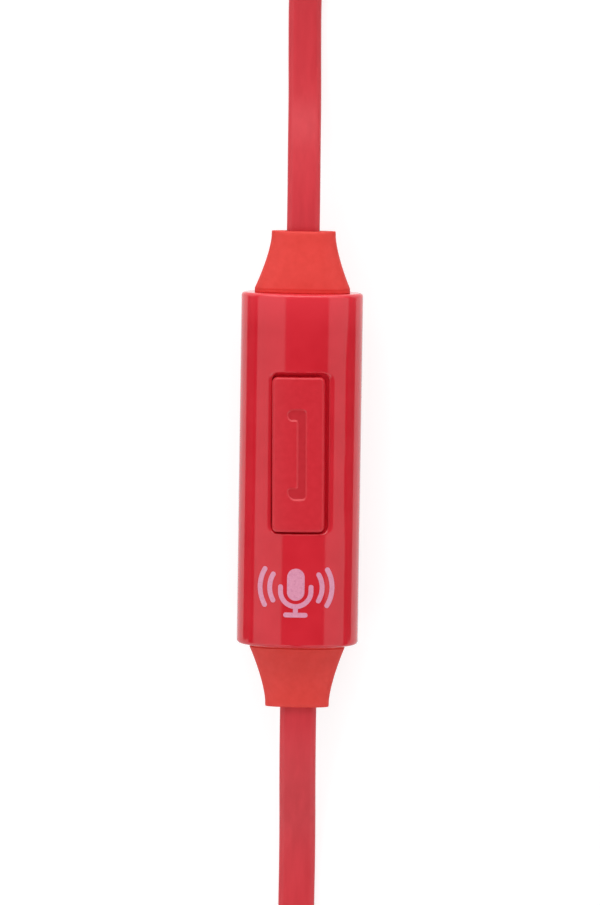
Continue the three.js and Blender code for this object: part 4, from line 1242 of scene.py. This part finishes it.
def make_strap(coil, run, look):
    """A woven strap closed round a coil, inside its node's box; run is 0 for X, 1 for Y."""
    node = f"{coil}_coil_tie"
    low, high = ([c / MM for c in corner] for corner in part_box(node))
    across = 1 - run
    half = STRAP_THICK / 2
    middle = ((low[across] + high[across]) / 2, (low[2] + high[2]) / 2)
    spans = ((high[across] - low[across]) / 2 - half, (high[2] - low[2]) / 2 - half)
    loop = refine(rounded_rect(*spans, STRAP_CORNER, 10, middle), STRAP_STEP)
    centre = (high[run] + low[run]) / 2
    section = rounded_rect((high[run] - low[run]) / 2, half, STRAP_EDGE, 5)
    rings = []
    for index, point in enumerate(loop):
        here = Vector(point)
        along = (Vector(loop[(index + 1) % len(loop)]) - Vector(loop[index - 1])).normalized()
        normal = Vector((along.y, -along.x))
        ring = []
        for u, v in section:
            place = here + normal * v
            spot = [0.0, 0.0, place.y]
            spot[run] = centre + u
            spot[across] = place.x
            ring.append(tuple(spot))
        rings.append(ring)
    mesh_piece(
        f"{coil}_coil_strap", [rings_part(rings, close=True)], look, replaces=[node], sharp=60,
    )


# ---- Finishes for the nodes kept from the model ----

def finish_nodes(looks):
    for node, look in looks.items():
        piece = bpy.data.objects[node]
        piece.data.materials.clear()
        piece.data.materials.append(look.material)


# ---- Studio ----

FLOOR_REACH = 3000.0
FLOOR_DROP = 0.02
FLOOR_GLOW = 0.72
FLAG_X = 18.0
FLAG_HALF_LENGTH = 16.0
FLAG_TOP = 7.4


def make_card(name, corners, look):
    """A flat card of the studio, which isn't part of the object."""
    mesh = bpy.data.meshes.new(name)
    mesh.from_pydata([tuple(c * MM for c in corner) for corner in corners], [], [(0, 1, 2, 3)])
    mesh.materials.append(look.material)
    card = bpy.data.objects.new(name, mesh)
    bpy.context.scene.collection.objects.link(card)
    return card


def make_floor():
    """The white ground, which glows only where the camera, gloss or a clear surface sees it."""
    look = Look(
        "floor", Base_Color=(0.45, 0.45, 0.45, 1), Roughness=0.9, Specular_IOR_Level=0.0,
        Emission_Color=(1, 1, 1, 1),
    )
    rays = look.node("LightPath").outputs
    seen = add_maths(look.tree, "MAXIMUM", rays["Is Camera Ray"], rays["Is Glossy Ray"])
    seen = add_maths(look.tree, "MAXIMUM", seen, rays["Is Transmission Ray"])
    look.feed("Emission Strength", add_maths(look.tree, "MULTIPLY", seen, FLOOR_GLOW))
    reach = FLOOR_REACH
    floor = make_card(
        "floor", [(-reach, -reach, 0), (reach, -reach, 0), (reach, reach, 0), (-reach, reach, 0)],
        look,
    )
    floor.location.z = -FLOOR_DROP * MM


def make_flags():
    """Low grey cards beside the remote that only its gloss sees."""
    look = Look("flag", Base_Color=(0.2, 0.2, 0.2, 1), Roughness=1.0, Specular_IOR_Level=0.0)
    for x in (FLAG_X, -FLAG_X):
        y, top = FLAG_HALF_LENGTH, FLAG_TOP
        flag = make_card("flag", [(x, -y, 0), (x, y, 0), (x, y, top), (x, -y, top)], look)
        for ray in ("camera", "diffuse", "transmission", "volume_scatter", "shadow"):
            setattr(flag, f"visible_{ray}", False)


# Soft boxes to the left and right in the world, with flags between and below them: each box's
# inner and outer edge in degrees from overhead, seen along the remote, and the light of each
LEFT_BOX = (23.7, 76.5)
RIGHT_BOX = (41.5, 85.0)
EDGE_SOFT = 1.6
BOX_LIGHT = 1.0
OVERHEAD_LIGHT = 0.15
LOW_LIGHT = 0.05

# Wide boxes beyond the remote's two ends: where each begins and how softly, as the Y of a
# direction of length 1. The foot's box is dimmer low down and parted in the middle, in degrees
HEAD_EDGE = (0.66, 0.1)
HEAD_LIGHT = 2.8
FOOT_EDGE = (0.42, 0.06)
FOOT_LIGHT = 1.9
FOOT_LOW_EDGE = (0.75, 0.06)
FOOT_LOW_LIGHT = 0.6
PARTING = 9.0
PARTING_SOFT = 3.0


def make_world():
    """The studio's light in the world, where the camera itself sees plain white."""
    world = bpy.data.worlds.new("studio")
    bpy.context.scene.world = world
    world.use_nodes = True
    tree = world.node_tree

    def maths(operation, *values):
        return add_maths(tree, operation, *values)

    def step(value, edge, soft):
        inputs = {"Value": value, "From Min": edge - soft, "From Max": edge + soft}
        node = add_node(tree, "MapRange", inputs, interpolation_type="SMOOTHSTEP")
        return node.outputs["Result"]

    def band(low, high, soft=EDGE_SOFT):
        """1 between two angles from overhead and 0 beside them."""
        return maths("SUBTRACT", step(angle, low, soft), step(angle, high, soft))

    place = add_node(tree, "TexCoord").outputs["Generated"]
    x, y, z = add_node(tree, "SeparateXYZ", {0: place}).outputs
    angle = maths("MULTIPLY", maths("ARCTAN2", x, z), 180 / math.pi)
    boxes = maths("ADD", band(-LEFT_BOX[1], -LEFT_BOX[0]), band(*RIGHT_BOX))
    level = maths("MULTIPLY_ADD", boxes, BOX_LIGHT - LOW_LIGHT, LOW_LIGHT)
    overhead = band(-LEFT_BOX[0], RIGHT_BOX[0])
    level = maths("MULTIPLY_ADD", overhead, OVERHEAD_LIGHT - LOW_LIGHT, level)
    away = maths("MULTIPLY", y, -1)
    head = step(y, *HEAD_EDGE)
    foot = step(away, *FOOT_EDGE)
    foot_low = step(away, *FOOT_LOW_EDGE)
    level = maths("MULTIPLY", level, maths("SUBTRACT", maths("SUBTRACT", 1.0, head), foot))
    level = maths("MULTIPLY_ADD", head, HEAD_LIGHT, level)
    beside = maths("SUBTRACT", 1.0, band(-PARTING, PARTING, PARTING_SOFT))
    lamps = maths("MULTIPLY", maths("SUBTRACT", foot, foot_low), beside)
    level = maths("MULTIPLY_ADD", lamps, FOOT_LIGHT, level)
    level = maths("MULTIPLY_ADD", foot_low, FOOT_LOW_LIGHT, level)
    seen = add_node(tree, "LightPath").outputs["Is Camera Ray"]
    kept = maths("MULTIPLY", level, maths("SUBTRACT", 1.0, seen))
    back = tree.nodes["Background"]
    tree.links.new(maths("ADD", kept, seen), back.inputs["Strength"])
    back.inputs["Color"].default_value = (1, 1, 1, 1)


# ---- Run ----

PLUG_PIECES = [
    "plug_grip", "plug_point", "plug_relief_sleeve", "plug_contact_1", "plug_contact_2",
    "plug_contact_sleeve", "plug_spacer_tip", "plug_spacer_middle", "plug_spacer_rear",
]
SPLITTER_PIECES = ["splitter_front_cover", "splitter_back_cover", "splitter_bushes"]

make_camera()

gloss = gloss_red()
shell = remote_red_painted_light()
gauze = woven_steel()
strap = strap_cloth()

make_front_cover(shell)
make_back_cover(shell)
make_button_cap(satin_red, mark_red, painted_shade_red)
make_relief_sleeve("upper", 1, rubber_red, **UPPER_RELIEF)
make_relief_sleeve("lower", -1, rubber_red, **LOWER_RELIEF)
make_print(print_pink)
make_splitter(gloss, rubber_red)
make_plug(gloss, rubber_red, gold, black_plastic)
for bud in BUDS:
    make_earbud(bud, gloss, rubber_red, dark_silicone, gauze)
make_strap("lead", 0, strap)
make_strap("strand", 1, strap)
make_cords(cord_red)
finish_nodes({
    "remote_circuit_board": circuit_green,
    "remote_switch_base": black_plastic,
    "remote_switch_dome": steel,
    "remote_microphone": steel,
    "remote_microphone_gasket": black_plastic,
    "remote_upper_cord_anchor": black_plastic,
    "remote_lower_cord_anchor": black_plastic,
    **{f"{bud}_{part}": look for bud in BUDS for part, look in (
        ("voice_coil", copper), ("driver_frame", black_plastic), ("magnet", steel),
        ("magnet_cup", steel), ("diaphragm", film_white),
    )},
})
make_floor()
make_flags()
make_world()

bpy.context.scene.view_settings.view_transform = "Standard"
